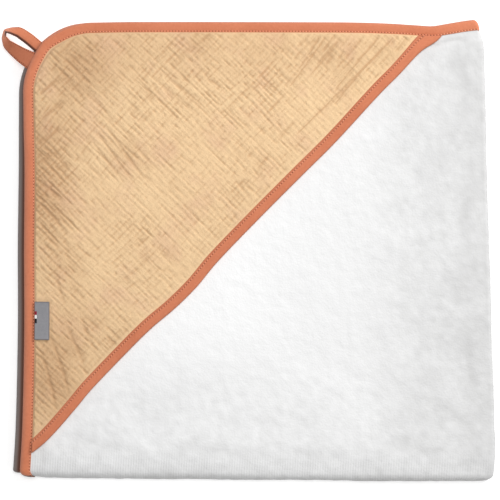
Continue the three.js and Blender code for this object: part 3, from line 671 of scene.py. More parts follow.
CRINKLE_PATCHES = [
    {"at": (76, 96), "reach": 30, "square": 1.1, "along": 0.8},
    {"at": (92, 128), "reach": 24, "square": 0.9, "along": 0.8},
    {"at": (122, 52), "reach": 26, "square": 1.2, "along": 0.8},
    {"at": (44, 34), "reach": 24, "square": 1.7, "along": 1.9},
    {"at": (18, 70), "reach": 22, "square": 0.7, "along": 1.9},
    {"at": (18, 100), "reach": 22, "square": 0.9, "along": 2.0},
    {"at": (110, 16), "reach": 24, "square": 0.8, "along": 1.8},
    {"at": (16, 128), "reach": 20, "square": 2.2, "along": 2.2},
    {"at": (18, 162), "reach": 22, "square": 2.3, "along": 1.9},
    {"at": (30, 190), "reach": 22, "square": 1.6, "along": 1.1},
    {"at": (170, 60), "reach": 30, "square": 1.0, "along": 1.2},
    {"at": (215, 40), "reach": 26, "square": 0.8, "along": 1.4},
    {"at": (255, 26), "reach": 24, "square": 0.6, "along": 1.7},
    {"at": (160, 12), "reach": 20, "square": 0.8, "along": 1.7},
    {"at": (300, 28), "reach": 44, "square": 0.5, "along": 1.5},
    {"at": (104, 184), "reach": 28, "square": 0.8, "along": 0.9},
    {"at": (34, 232), "reach": 24, "square": 1.2, "along": 0.9},
    {"at": (22, 300), "reach": 38, "square": 1.5, "along": 0.8},
    {"at": (60, 280), "reach": 26, "square": 1.0, "along": 0.8},
]
CRINKLE_BASE = 0.72
CRINKLE_PATCH = {"uneven": (0.35, 26, 57), "share": 0.8, "least": 0.25, "most": 2.1}

# Patches of painted shade on the gauze, towards its bound edges and its corner
GAUZE_SHADES = [
    {"at": (44, 34), "reach": 34, "amount": 0.90},
    {"at": (12, 100), "reach": 30, "amount": 0.75},
    {"at": (13, 150), "reach": 30, "amount": 0.85},
    {"at": (24, 205), "reach": 26, "amount": 0.45},
    {"at": (26, 268), "reach": 26, "amount": 0.55},
    {"at": (20, 312), "reach": 34, "amount": 0.85},
    {"at": (64, 262), "reach": 30, "amount": 0.25},
    {"at": (88, 118), "reach": 20, "amount": 0.30},
    {"at": (100, 12), "reach": 26, "amount": 0.45},
    {"at": (150, 14), "reach": 26, "amount": 0.50},
    {"at": (210, 12), "reach": 26, "amount": 0.40},
    {"at": (270, 18), "reach": 26, "amount": 0.38},
    {"at": (318, 18), "reach": 26, "amount": 0.35},
]

HOOD_CREASES = [
    {"start": (212, 108), "end": (196, 128), "height": -0.7, "width": 0.9},
    {"start": (232, 82), "end": (214, 104), "height": -0.55, "width": 0.9},
    {"start": (190, 132), "end": (171, 148), "height": -0.6, "width": 0.9},
    {"start": (312, 18), "end": (231, 97), "height": -1.9, "width": 0.5, "fade": 0.08},
    {"start": (320, 11), "end": (264, 72), "height": -2.0, "width": 0.5, "bend": 2.2, "fade": 0.08},
    {"start": (308, 10), "end": (265, 59), "height": -1.6, "width": 0.5, "bend": 0.8, "fade": 0.12},
    {"start": (331, 11), "end": (318, 25), "height": -1.5, "width": 0.5, "fade": 0.2},
    {"start": (262, 10), "end": (226, 57), "height": -1.7, "width": 0.5, "fade": 0.12},
    {"start": (256, 12), "end": (234, 42), "height": -1.3, "width": 0.5, "fade": 0.2},
    {"start": (267, 18), "end": (250, 37), "height": -1.3, "width": 0.5, "fade": 0.2},
    {"start": (226, 58), "end": (205, 80), "height": -0.7, "width": 0.9, "fade": 0.3},
    {"start": (292, 40), "end": (250, 79), "height": -0.7, "width": 0.8, "bend": -1.0},
    {"start": (60, 88), "end": (98, 142), "height": -0.8, "width": 1.0, "bend": 0.8},
    {"start": (68, 84), "end": (106, 138), "height": -0.7, "width": 1.0, "bend": 0.5},
    {"start": (53, 94), "end": (88, 140), "height": -0.65, "width": 1.0},
    {"start": (76, 80), "end": (116, 130), "height": -0.5, "width": 1.0},
    {"start": (104, 40), "end": (150, 82), "height": -0.7, "width": 1.0},
    {"start": (110, 34), "end": (158, 76), "height": -0.7, "width": 1.0},
    {"start": (94, 44), "end": (132, 82), "height": -0.6, "width": 1.0},
    {"start": (34, 28), "end": (60, 56), "height": -0.7, "width": 1.3},
    {"start": (28, 36), "end": (54, 66), "height": -0.6, "width": 1.3},
    {"start": (20, 262), "end": (40, 322), "height": -0.8, "width": 1.3, "bend": -2.0},
    {"start": (13, 276), "end": (29, 336), "height": -0.75, "width": 1.2, "bend": -2.0},
    {"start": (33, 252), "end": (54, 302), "height": -0.6, "width": 1.4, "bend": -1.5},
    {"start": (46, 246), "end": (62, 284), "height": -0.45, "width": 1.4},
    {"start": (26, 212), "end": (36, 244), "height": -0.6, "width": 1.5},
    {"start": (12, 62), "end": (34, 46), "height": -0.95, "width": 1.1},
    {"start": (12, 84), "end": (40, 64), "height": -0.95, "width": 1.2},
    {"start": (12, 104), "end": (34, 88), "height": -0.95, "width": 1.2},
    {"start": (12, 120), "end": (30, 108), "height": -0.95, "width": 1.1},
    {"start": (12, 134), "end": (36, 152), "height": -0.95, "width": 1.2},
    {"start": (12, 152), "end": (34, 172), "height": -0.95, "width": 1.2},
    {"start": (12, 168), "end": (32, 190), "height": -0.95, "width": 1.2},
]

LABEL = {"from": 9.1, "reach": 12.6, "top": 237.2, "length": 32.5, "wall": 1.0, "clearance": 3.0}
print("furrows every", FURROWS["square"]["pitch"], "and", FURROWS["along"]["pitch"], "mm")

# %% The crinkles, as heights
FURROW = {"groove": 0.80, "puff": 0.26, "faint": 0.28, "dash": (-0.55, 0.7), "bead": 2.2, "bead_mean": 0.70,
          "bead_swing": 0.42}
WANDERING = {"depth": 0.55, "width": 0.17, "fading": (-0.2, 0.6), "square": 0.8, "along": 0.7}
STREAKS = {
    "spacing": [(1.0, 1.0, 0.10, 9, 0), (0.4, 1.0, 0.4, 5, 3)],
    "drift": [(1.0, 0.4, 1.0, 48, 1)],
    "quiver": [(0.2, 1.0, 1.0, 8, 4)],
    "wandering": [(1.0, 1.0, 0.08, 4.6, 0), (0.4, 1.0, 0.12, 2.6, 1)],
    "fading": [(1.0, 0.6, 0.5, 7.0, 2)],
    "small": [(0.16, 1.0, 0.45, 2.3, 0), (0.13, 0.5, 1.0, 2.1, 3)],
}
GAUZE = {"deepest": -1.35, "lift": 0.85, "sewn": (0.2, 3.5)}
GAUZE_SWELL = [(0.3, 34, 52), (0.25, 70, 53)]
GAUZE_CLOUDS = [(0.10, 15, 58), (0.08, 40, 59)]


def furrow_line(place, along, kind, seed):
    """Puffs whose tops are at height 0, with narrow furrows between them, uneven in all their sizes."""
    spacing = kind["spacing"] * streaks(place, along, STREAKS["spacing"], seed)
    drift = kind["drift"] * streaks(place, along, STREAKS["drift"], seed)
    quiver = streaks(place, along, STREAKS["quiver"], seed)
    phase = (place + spacing + (drift + quiver)) / kind["pitch"]
    furrow = np.round(phase)
    off = (phase - furrow) * kind["pitch"]
    dash = smoothstep(noise(furrow, along / kind["dash"], 1.0, seed + 2), *FURROW["dash"])
    beads = FURROW["bead_mean"] + FURROW["bead_swing"] * noise(furrow, along / FURROW["bead"], 1.0, seed + 5)
    puff = FURROW["puff"] * (np.abs(np.sin(math.pi * phase)) - 1)
    groove = -FURROW["groove"] * bell(off, kind["width"])
    return kind["depth"] * (FURROW["faint"] + (1 - FURROW["faint"]) * dash) * beads * (puff + groove)


def wandering_line(place, along, seed):
    """Thin furrows that wander and fork, where smooth noise that is drawn out along them passes through 0."""
    value = streaks(place, along, STREAKS["wandering"], seed)
    fading = smoothstep(streaks(place, along, STREAKS["fading"], seed), *WANDERING["fading"])
    return -WANDERING["depth"] * fading * bell(value, WANDERING["width"])


def patch_strength(u, v, key):
    """How deep the furrows of one set are at a place, against their ordinary depth."""
    total = CRINKLE_BASE * (1 + waves(u, v, [CRINKLE_PATCH["uneven"]]))
    for value, near in spots(u, v, CRINKLE_PATCHES, key):
        total += (value - CRINKLE_BASE) * near * CRINKLE_PATCH["share"]
    return np.clip(total, CRINKLE_PATCH["least"], CRINKLE_PATCH["most"])


def gauze_shade(u, v):
    """How much painted shade darkens the gauze at a place, from 0 to 1."""
    total = waves(u, v, GAUZE_CLOUDS)
    for amount, near in spots(u, v, GAUZE_SHADES, "amount"):
        total += amount * near
    return np.clip(total, 0, 1)


def near_label(u, v):
    """1 where the tab lies on the hood and presses it flat, 0 elsewhere."""
    right = LABEL["from"] + LABEL["reach"]
    across = 1 - smoothstep(u, right, right + LABEL["clearance"])
    middle = LABEL["top"] + LABEL["length"] / 2
    off = np.abs(v - middle) - LABEL["length"] / 2
    return across * (1 - smoothstep(off, 0, LABEL["clearance"]))


def gauze_relief(along, inset):
    """Where a point of the hood lies, its height above the plain form, and how deep its furrow is."""
    start_u, start_v = hood_point(along / SLANT, np.full_like(along, LIP["inset"]))
    u = start_u + SLANT_IN[0] * (inset - LIP["inset"])
    v = start_v + SLANT_IN[1] * (inset - LIP["inset"])
    square_rows = furrow_line(along, inset, FURROWS["square"], 31)
    square_rows += WANDERING["square"] * wandering_line(along, inset, 81)
    square_rows += furrow_line(along, inset, FURROWS["fine square"], 61)
    parallel_rows = furrow_line(inset, along, FURROWS["along"], 41)
    parallel_rows += WANDERING["along"] * wandering_line(inset, along, 86)
    parallel_rows += furrow_line(inset, along, FURROWS["fine along"], 71)
    square = square_rows * patch_strength(u, v, "square")
    parallel = parallel_rows * patch_strength(u, v, "along")
    small = streaks(along, inset, STREAKS["small"], 51)
    sewn = smoothstep(inset - HOOD["binding"], *GAUZE["sewn"])
    deep = square + parallel + creased(u, v, HOOD_CREASES)
    relief = np.maximum(deep, GAUZE["deepest"]) + small + waves(u, v, GAUZE_SWELL) + GAUZE["lift"]
    return u, v, relief * sewn * (1 - near_label(u, v)), deep * sewn


one_place = gauze_relief(np.array([200.0]), np.array([60.0]))
print(f"at one place the gauze stands {float(one_place[2][0]):.2f} mm above its plain form")

# %% The hood panel's points
HOOD_PITCH = 0.9
BACK_STEP = 5
RIM_ROWS = np.array([4.0, 3.2, 2.4, 1.7, 1.1, 0.5, 0.0])
HOOD_SHARES = (0.008, 0.992)
BACK_FALL = (0.4, 6.4)
THINNEST_GAUZE = 0.25
FULL_FURROW = 1.2


def hood_grid():
    """Rows of points square to the slanted edge, each ending a little way under the edge strip."""
    along = np.linspace(*HOOD_SHARES, round(SLANT / HOOD_PITCH)) * SLANT
    start_u, start_v = hood_point(along / SLANT, np.full_like(along, LIP["inset"]))
    reach = LIP["inset"] + hood_reach(start_u, start_v)
    regular = np.arange(LIP["inset"], reach.max() - RIM_ROWS[0], HOOD_PITCH)
    is_regular = regular[None, :] < reach[:, None] - RIM_ROWS[0]
    main = np.where(is_regular, regular[None, :], reach[:, None] - RIM_ROWS[0])
    inset = np.concatenate([main, reach[:, None] - RIM_ROWS[None, :]], axis=1)
    return along, np.maximum(inset, LIP["inset"]), reach, is_regular


def hood_faces(along, inset, reach):
    """Both faces of the hood, as points in millimetres, with how deep in a furrow each point is."""
    place = np.broadcast_to(along[:, None], inset.shape)
    u, v, relief, deep = gauze_relief(place, inset)
    past = smoothstep(inset - HOOD["binding"], *BACK_FALL)
    floor = pile(u, v) + SEAM_GAP + (BINDING["thickness"] - HOOD["wall"]) / 2 * (1 - past)
    rise = smoothstep(reach[:, None] - inset, TUCK["from"], TUCK["to"])
    top = floor + HOOD["wall"] + np.maximum(relief, THINNEST_GAUZE - HOOD["wall"])
    front = fold(u, v, TUCK["front"] + (top - TUCK["front"]) * rise)
    back = fold(u, v, TUCK["back"] + (floor - TUCK["back"]) * rise)
    return front, back, np.clip(-deep / FULL_FURROW, 0, 1) * rise, gauze_shade(u, v)


hood_along, hood_inset, hood_far, hood_regular = hood_grid()
hood_front, hood_back, hood_depth, hood_shade = hood_faces(hood_along, hood_inset, hood_far)
print("hood grid:", hood_inset.shape)

# %% The hood panel's faces


def without_repeats(ring):
    """A ring of point numbers without any that follow themselves."""
    return [point for k, point in enumerate(ring) if point != ring[k - 1]]


def back_rings(number, is_regular):
    """The plain back in larger cells, which still meet every point of the rim."""
    last_row, last = number.shape[1] - 1, len(number) - 1
    coarse = range(0, is_regular.shape[1], BACK_STEP)

    def column(i):
        if i in (0, last):
            return list(range(last_row + 1))
        return [row for row in coarse if row == 0 or is_regular[i, row]] + [last_row]

    rings = []
    starts = [*range(0, last, BACK_STEP), last]
    for a, b in zip(starts, starts[1:]):
        joint = [row for row in coarse if row == 0 or (is_regular[a, row] and is_regular[b, row])]
        for low, high in zip(joint, [*joint[1:], last_row]):
            up = [number[a, row] for row in column(a) if low <= row <= high]
            down = [number[b, row] for row in reversed(column(b)) if low <= row <= high]
            over = [number[i, last_row] for i in range(a, b + 1)] if high == last_row else []
            under = [number[i, 0] for i in range(b, a - 1, -1)] if low == 0 else []
            rings.append(without_repeats(up + over + down + under))
    return [ring for ring in rings if len(ring) > 2]


def hood_mesh():
    """The hood as one closed sheet: a fine front, a coarse back and a rim."""
    is_new = np.diff(hood_inset, axis=1, prepend=-1) > 1e-4
    number = (np.cumsum(is_new.ravel()) - 1).reshape(hood_inset.shape)
    count = int(number[-1, -1]) + 1
    front = [
        without_repeats([number[i, j], number[i, j + 1], number[i + 1, j + 1], number[i + 1, j]])
        for i in range(len(number) - 1)
        for j in range(number.shape[1] - 1)
    ]
    front = [ring for ring in front if len(ring) > 2]
    edges = {pair for ring in front for pair in zip(ring, ring[1:] + ring[:1])}
    back = back_rings(number, hood_regular)
    used = sorted({point for ring in back for point in ring})
    behind = {point: count + k for k, point in enumerate(used)}
    faces = front + [[behind[point] for point in reversed(ring)] for ring in back]
    faces += [[b, a, behind[a], behind[b]] for a, b in sorted(edges) if (b, a) not in edges]
    chosen = is_new.ravel()
    points = np.concatenate([hood_front.reshape(-1, 3)[chosen], hood_back.reshape(-1, 3)[chosen][used]])
    place = np.broadcast_to(hood_along[:, None], hood_inset.shape)
    flat = np.stack([place.ravel()[chosen], hood_inset.ravel()[chosen]], -1)
    flat = np.concatenate([flat, flat[used]])
    furrow = np.concatenate([hood_depth.ravel()[chosen], np.zeros(len(used))])
    shade = hood_shade.ravel()[chosen]
    shade = np.concatenate([shade, shade[used]])
    faces = turned_outwards(points, [[int(point) for point in face] for face in faces])
    return new_piece("hood", points, faces, [flat[point] * MM for face in faces for point in face],
                     {"furrow": furrow, "shade": shade})


hood = hood_mesh()
print("hood:", triangles_of(hood), "triangles")

# %% [markdown]
# ## The bias strips
# A bias strip is cut across the weave, so it can stretch round a corner. It is folded round the cloth's
# edge and sewn through with one row of stitches near its inner side. It is fuller along its folded edge
# than at the sewn one, and the thread draws it down a little. A section is swept along each edge, with slow
# ripples put on top.

# %% The strip's section
STITCH = {"pitch": 2.6, "length": 1.5, "thread": 0.62, "edge": 0.90, "hood": 0.77, "around": 7, "rings": 5}
STRIP_PITCH = 1.3
RIPPLE = {"slow": 0.16, "quick": 0.10}
INNER_TURN = {"near": 0.65, "far": 0.35, "height": 0.9}

EDGE_STRIP_TOP = [(1.0, 0.74), (0.96, 0.82), (0.90, 0.76), (0.82, 0.94), (0.64, 1.08), (0.46, 1.12),
                  (0.30, 1.05), (0.17, 0.88), (0.08, 0.62), (0.02, 0.30), (0.0, 0.0)]
HOOD_STRIP_TOP = [(1.0, 0.72), (0.95, 0.88), (0.86, 0.92), (0.77, 0.72), (0.68, 0.90), (0.60, 0.84),
                  (0.50, 0.98), (0.38, 1.16), (0.24, 1.14), (0.12, 0.88), (0.04, 0.52), (0.0, 0.0)]


def strip_section(width, top):
    """The section's points: inset from the folded edge, height, and how far round the cloth each lies."""
    skin = BINDING["thickness"] / 2
    upper = [(share * width, height * skin, share * width) for share, height in top]
    lower = [(inset, -height, -inset) for inset, height, _ in reversed(upper[:-1])]
    inside = skin - BINDING["cloth"]
    inner = [
        (width, -inside, -width),
        (INNER_TURN["near"] * BINDING["turn"], -INNER_TURN["height"] * inside, -1.0),
        (INNER_TURN["far"] * BINDING["turn"], 0.0, 0.0),
        (INNER_TURN["near"] * BINDING["turn"], INNER_TURN["height"] * inside, 1.0),
        (width, inside, width),
    ]
    return np.array(upper + lower + inner)


def path_lengths(points):
    """Distance along a line of points, starting at 0."""
    steps = np.linalg.norm(np.diff(points, axis=0), axis=1)
    return np.concatenate([[0], np.cumsum(steps)])


def ripple(along, share, seed):
    """Slow unevenness of a sewn strip, none at its inner side."""
    slow = RIPPLE["slow"] * noise(along, share * 0, 14, seed)
    quick = RIPPLE["quick"] * noise(along, share * 3, 4.5, seed + 1)
    return (slow + quick) * (1 - share)


print("the edge strip's section has", len(strip_section(BINDING["width"], EDGE_STRIP_TOP)), "points")

# %% The way round the whole towel


def corner_stations(u, v, start):
    """Stations round one rounded corner of the open towel, with the way in."""
    steps = round(CORNER_RADIUS * math.pi / 2 / STRIP_PITCH)
    angle = start + np.linspace(0, math.pi / 2, steps + 1)
    out_u, out_v = np.cos(angle), np.sin(angle)
    return np.stack([u + CORNER_RADIUS * out_u, v + CORNER_RADIUS * out_v, -out_u, -out_v], -1)


def straight_stations(places, is_across, edge, inward):
    """Stations along one straight edge of the open towel, with the way in."""
    same = np.full_like(places, edge)
    none = np.zeros_like(places)
    way = np.full_like(places, inward)
    columns = (places, same, none, way) if is_across else (same, places, way, none)
    return np.stack(columns, -1)


def edge_stations():
    """Every station round the open towel's edge, in order."""
    far_side = [ACROSS - place for place in SIDE_TURN]
    far_end = [DOWN - place for place in END_TURN]
    first, last_u, last_v = CORNER_RADIUS, ACROSS - CORNER_RADIUS, DOWN - CORNER_RADIUS
    across = spaced(first + 1, last_u - 1, STRIP_PITCH, [*SIDE_TURN, *far_side])
    down = spaced(first + 1, last_v - 1, STRIP_PITCH, [*END_TURN, *far_end])
    return np.concatenate([
        corner_stations(first, first, math.pi),
        straight_stations(across, True, 0, 1),
        corner_stations(last_u, first, 1.5 * math.pi),
        straight_stations(down, False, ACROSS, -1),
        corner_stations(last_u, last_v, 0),
        straight_stations(across[::-1], True, DOWN, -1),
        corner_stations(first, last_v, 0.5 * math.pi),
        straight_stations(down[::-1], False, 0, 1),
    ])


def edge_line(stations, inset, out):
    """The line at one inset and height along all stations."""
    return fold(stations[:, 0] + stations[:, 2] * inset, stations[:, 1] + stations[:, 3] * inset, out)


stations = edge_stations()
print(len(stations), "stations round the towel")

# %% The strip bound round it
# Painted shade on the edge strip: its lower layers at the left, its folded edge, and a painted shadow under
# the layer above
STRIP_SHADE = {"at_left": (-182, -172), "below": (10.5, 11.1), "rim": 0.30, "rim_to": (0.2, 1.6),
        "left_rim": 0.22, "left_rim_to": (0.4, 4.2)}
CREVICE_SHADOW = [(0.3, 0.8, 2.8), (0.7, 3.2, 4.5)]


def edge_sections(stations, section, along):
    """The strip's sections at all stations."""
    lines = []
    for inset, out, _ in section:
        share = inset / BINDING["width"]
        lift = ripple(along, share, 61) * np.sign(out) if abs(out) > 1 else 0
        lines.append(edge_line(stations, inset, out + lift))
    return np.stack(lines, axis=1)


stitch_line_inset = STITCH["edge"] * BINDING["width"]
sewn_line = edge_line(stations, stitch_line_inset, 0.0)
edge_along = path_lengths(np.concatenate([sewn_line, sewn_line[:1]]))
edge_section = strip_section(BINDING["width"], EDGE_STRIP_TOP)
edge_points = edge_sections(stations, edge_section, edge_along[:-1])


def painted_strip_shade(points, section):
    """Painted shade on the strip: full on the lower layers at the left, and a little along its folded edge.

    On the lower layers, the second mark is 1 where the strip goes in under the layer above: a painted shadow.
    """
    inset = np.broadcast_to(section[:, 0], points.shape[:2])
    at_left = 1 - smoothstep(points[..., 0], *STRIP_SHADE["at_left"])
    below = (1 - smoothstep(points[..., 2], *STRIP_SHADE["below"])) * at_left
    rim = STRIP_SHADE["rim"] * (1 - smoothstep(inset, *STRIP_SHADE["rim_to"]))
    left_rim = STRIP_SHADE["left_rim"] * (1 - smoothstep(inset, *STRIP_SHADE["left_rim_to"])) * at_left
    crevice_shadow = below * ramps(inset, CREVICE_SHADOW)
    return {"painted_shade": np.maximum(below, np.maximum(rim, left_rim)).ravel(), "crevice_shadow": crevice_shadow.ravel()}


edge_strip = swept_strip(
    "edge_strip", edge_points, edge_along * MM, edge_section[:, 2] * MM, is_ring=True,
    attributes=painted_strip_shade(edge_points, edge_section),
)
print(f"edge strip: {edge_along[-1] / 1000:.2f} m round the towel, {triangles_of(edge_strip)} triangles")

# %% The strip along the hood's slanted edge
HOOD_FLARE = {"out": 3.3, "share": 0.07}
HOOD_STRIP_SHADE = {"sewn": 0.12, "sewn_from": (-0.9, 0.3), "rim": 0.2, "rim_to": (0.1, 1.0)}
hood_shares = np.linspace(0, 1, round(SLANT / STRIP_PITCH) + 1)


def hood_line(inset, out):
    """The line at one inset from the slanted edge, out above the strip's middle, with a flare at its top."""
    flare = HOOD_FLARE["out"] * (1 - smoothstep(hood_shares, 0, HOOD_FLARE["share"])) ** 2
    u, v = hood_point(hood_shares, inset - flare * (1 - inset / HOOD["binding"]))
    return fold(u, v, pile(u, v) + SEAM_GAP + BINDING["thickness"] / 2 + out)


hood_stitch_inset = STITCH["hood"] * HOOD["binding"]
slant_along = path_lengths(hood_line(hood_stitch_inset, 0.0))
hood_section = strip_section(HOOD["binding"], HOOD_STRIP_TOP)
hood_lines = []
for inset, out, _ in hood_section:
    lift = ripple(slant_along, inset / HOOD["binding"], 67) if out > 1 else 0
    hood_lines.append(hood_line(inset, out + lift))
# Painted shade on the hood strip: along its sewn side, and a thin dark rim at its folded edge
sewn_side = HOOD_STRIP_SHADE["sewn"] * smoothstep(hood_section[:, 0] - hood_stitch_inset, *HOOD_STRIP_SHADE["sewn_from"])
outer_rim = HOOD_STRIP_SHADE["rim"] * (1 - smoothstep(hood_section[:, 0], *HOOD_STRIP_SHADE["rim_to"]))
hood_strip = swept_strip(
    "hood_strip", np.stack(hood_lines, axis=1), slant_along * MM, hood_section[:, 2] * MM, is_ring=False,
    attributes={"painted_shade": np.tile(np.maximum(sewn_side, outer_rim), len(hood_shares))},
)
print("hood strip:", triangles_of(hood_strip), "triangles")

# %% [markdown]
# ## The hanging loop
# The loop is a length of the same strip folded in four and sewn in at the corner. Near its tip it stands on
# edge and turns over, so its section is swept along a route that a table gives. Each row holds a place, a
# lean and a share of the ribbon's width.

# %% The ribbon loop
LOOP = {"width": 10.0, "wall": 1.3, "steps": 108, "around": 24, "ease": 0.2, "eased_over": 9}
LOOP_SECTION = {"side": 0.55, "face": 0.75, "channel": 0.22, "channel_width": 0.12}
LOOP_ROUTE = [
    (-45.7, 38.4, 0.0, 0, 1.0), (-54.7, 46.0, 0.2, 4, 1.0), (-62.8, 51.6, -0.2, 18, 0.98),
    (-69.4, 53.0, -0.8, 46, 0.95), (-75.0, 53.2, -1.2, 68, 0.95), (-76.0, 47.2, -1.6, 62, 1.0),
    (-73.0, 41.4, -1.6, 36, 1.0), (-67.2, 36.8, -1.2, 10, 1.10), (-60.4, 32.0, -0.4, 4, 1.32),
    (-51.6, 26.8, 0.0, 0, 1.55),
]


def loop_column(number, places):
    """One column of the loop's route: nearly straight between its rows, with each corner eased a little."""
    column = [row[number] for row in LOOP_ROUTE]
    reach = np.linspace(-LOOP["ease"], LOOP["ease"], LOOP["eased_over"])[:, None]
    return np.interp(places[None, :] + reach, range(len(column)), column).mean(axis=0)


def loop_sections():
    """The ribbon's sections along its route, with softly rounded sides."""
    places = np.linspace(0, len(LOOP_ROUTE) - 1, LOOP["steps"] + 1)
    middle = np.stack([loop_column(column, places) for column in range(3)], -1)
    middle += fold(np.array(CORNER_RADIUS), np.array(CORNER_RADIUS), 0.0)
    heading = np.gradient(middle, axis=0)
    heading /= np.linalg.norm(heading, axis=1, keepdims=True)
    lean = np.radians(loop_column(3, places))[:, None]
    level = np.stack([heading[:, 1], -heading[:, 0], np.zeros(len(places))], -1)
    level /= np.linalg.norm(level, axis=1, keepdims=True)
    outward = level * np.cos(lean) - np.array([0, 0, 1.0]) * np.sin(lean)
    normal = np.cross(outward, heading)
    normal /= np.linalg.norm(normal, axis=1, keepdims=True)
    turn = np.linspace(0, 2 * math.pi, LOOP["around"], endpoint=False)
    wide = np.sign(np.cos(turn)) * np.abs(np.cos(turn)) ** LOOP_SECTION["side"] / 2
    thick = np.sign(np.sin(turn)) * np.abs(np.sin(turn)) ** LOOP_SECTION["face"] / 2
    thick *= 1 - LOOP_SECTION["channel"] * bell(wide, LOOP_SECTION["channel_width"])
    spread = LOOP["width"] * loop_column(4, places)
    sections = (
        middle[:, None]
        + outward[:, None] * (spread[:, None] * wide[None, :])[..., None]
        + normal[:, None] * (thick * LOOP["wall"])[None, :, None]
    )
    return sections, path_lengths(middle), wide, places


LOOP_PAINTED_SHADE = {"inner": (0.20, 0.36), "inner_ends": (4.4, 5.2), "lower": [(0.30, 5.2, 6.6)],
             "first_seam": 0.5, "first_seam_ends": (0.0, 0.35), "last_seam": [(0.6, 8.6, 9.0)]}


def loop_shade(places, wide):
    """How much painted shade darkens the ribbon along its inner side and on its lower leg; it is darker at
    its seams too.
    """
    rows = places[:, None]
    inner = smoothstep(-wide[None, :], *LOOP_PAINTED_SHADE["inner"]) * (1 - smoothstep(rows, *LOOP_PAINTED_SHADE["inner_ends"]))
    lower = ramps(rows, LOOP_PAINTED_SHADE["lower"])
    first_seam = LOOP_PAINTED_SHADE["first_seam"] * (1 - smoothstep(rows, *LOOP_PAINTED_SHADE["first_seam_ends"]))
    seams = first_seam + ramps(rows, LOOP_PAINTED_SHADE["last_seam"])
    return np.clip(np.maximum(np.maximum(inner, lower), seams), 0, 1).ravel()


ribbon, loop_along, loop_wide, loop_places = loop_sections()
loop = swept_strip("loop", ribbon, loop_along * MM, loop_wide * LOOP["width"] * MM, is_ring=False,
                   attributes={"painted_shade": loop_shade(loop_places, loop_wide)})
print(f"loop: {loop_along[-1]:.0f} mm of ribbon, {triangles_of(loop)} triangles")

# %% [markdown]
# ## The woven tab
# A narrow woven tape is doubled over and its cut ends are caught under the left strip's stitches. Its fold
# is on the right, where it is a little thinner. It could be one flat card, but a doubled tape has a rounded
# fold and its ends curl a little, so it is a sheet of cells whose two faces draw together at the fold.

# %% The tab's cloth
TAB_PITCH = 0.65
TAB_NEAR_FOLD = [21.2, 21.45, 21.6]
TAB_TURN = 1.2
TAB_CURL = {"height": 0.35, "ends": (0.8, 1.0), "from": 5.0}
TAB_WAVE = [(0.12, 8, 71)]


def tab_height(u, v, side):
    """Height of the tab's upper (side 1) or lower (side 0) face over the terry's middle."""
    right = LABEL["from"] + LABEL["reach"]
    under = pile(u, v) + HOOD["wall"] + 2 * SEAM_GAP
    round_fold = (u - right + TAB_TURN) / TAB_TURN
    squeeze = np.where(round_fold > 0, 0.5 - 0.5 * np.sqrt(np.clip(1 - round_fold**2, 0, 1)), 0)
    share = 1 - squeeze if side else squeeze
    ends = np.abs(v - LABEL["top"] - LABEL["length"] / 2) / (LABEL["length"] / 2)
    towards_fold = smoothstep(u, LABEL["from"] + TAB_CURL["from"], right)
    curl = TAB_CURL["height"] * smoothstep(ends, *TAB_CURL["ends"]) * towards_fold
    return under + LABEL["wall"] * share + curl + (waves(u, v, TAB_WAVE) if side else 0)


tab = cloth_sheet(
    "tab",
    cells_between(
        spaced(LABEL["from"], LABEL["from"] + LABEL["reach"], TAB_PITCH, TAB_NEAR_FOLD),
        spaced(LABEL["top"], LABEL["top"] + LABEL["length"], TAB_PITCH),
    ),
    lambda u, v: fold(u, v, tab_height(u, v, 1)),
    lambda u, v: fold(u, v, tab_height(u, v, 0)),
)
print("tab:", triangles_of(tab), "triangles")

# %% [markdown]
# ## Stitches
# ## Stitches
# A row of stitches repeats along a path, which is what Geometry Nodes are for. The tree takes a line of
# points, lays a number of stitches evenly along it, and turns each one to follow the line. Once it has run,
# the result is made a plain mesh, because nothing live should be left on a finished piece.

# %% The tree that sews
STITCH_INPUTS = {"Geometry": "Geometry", "Count": "Int", "Length": "Float", "Thread": "Float",
                 "Material": "Material"}


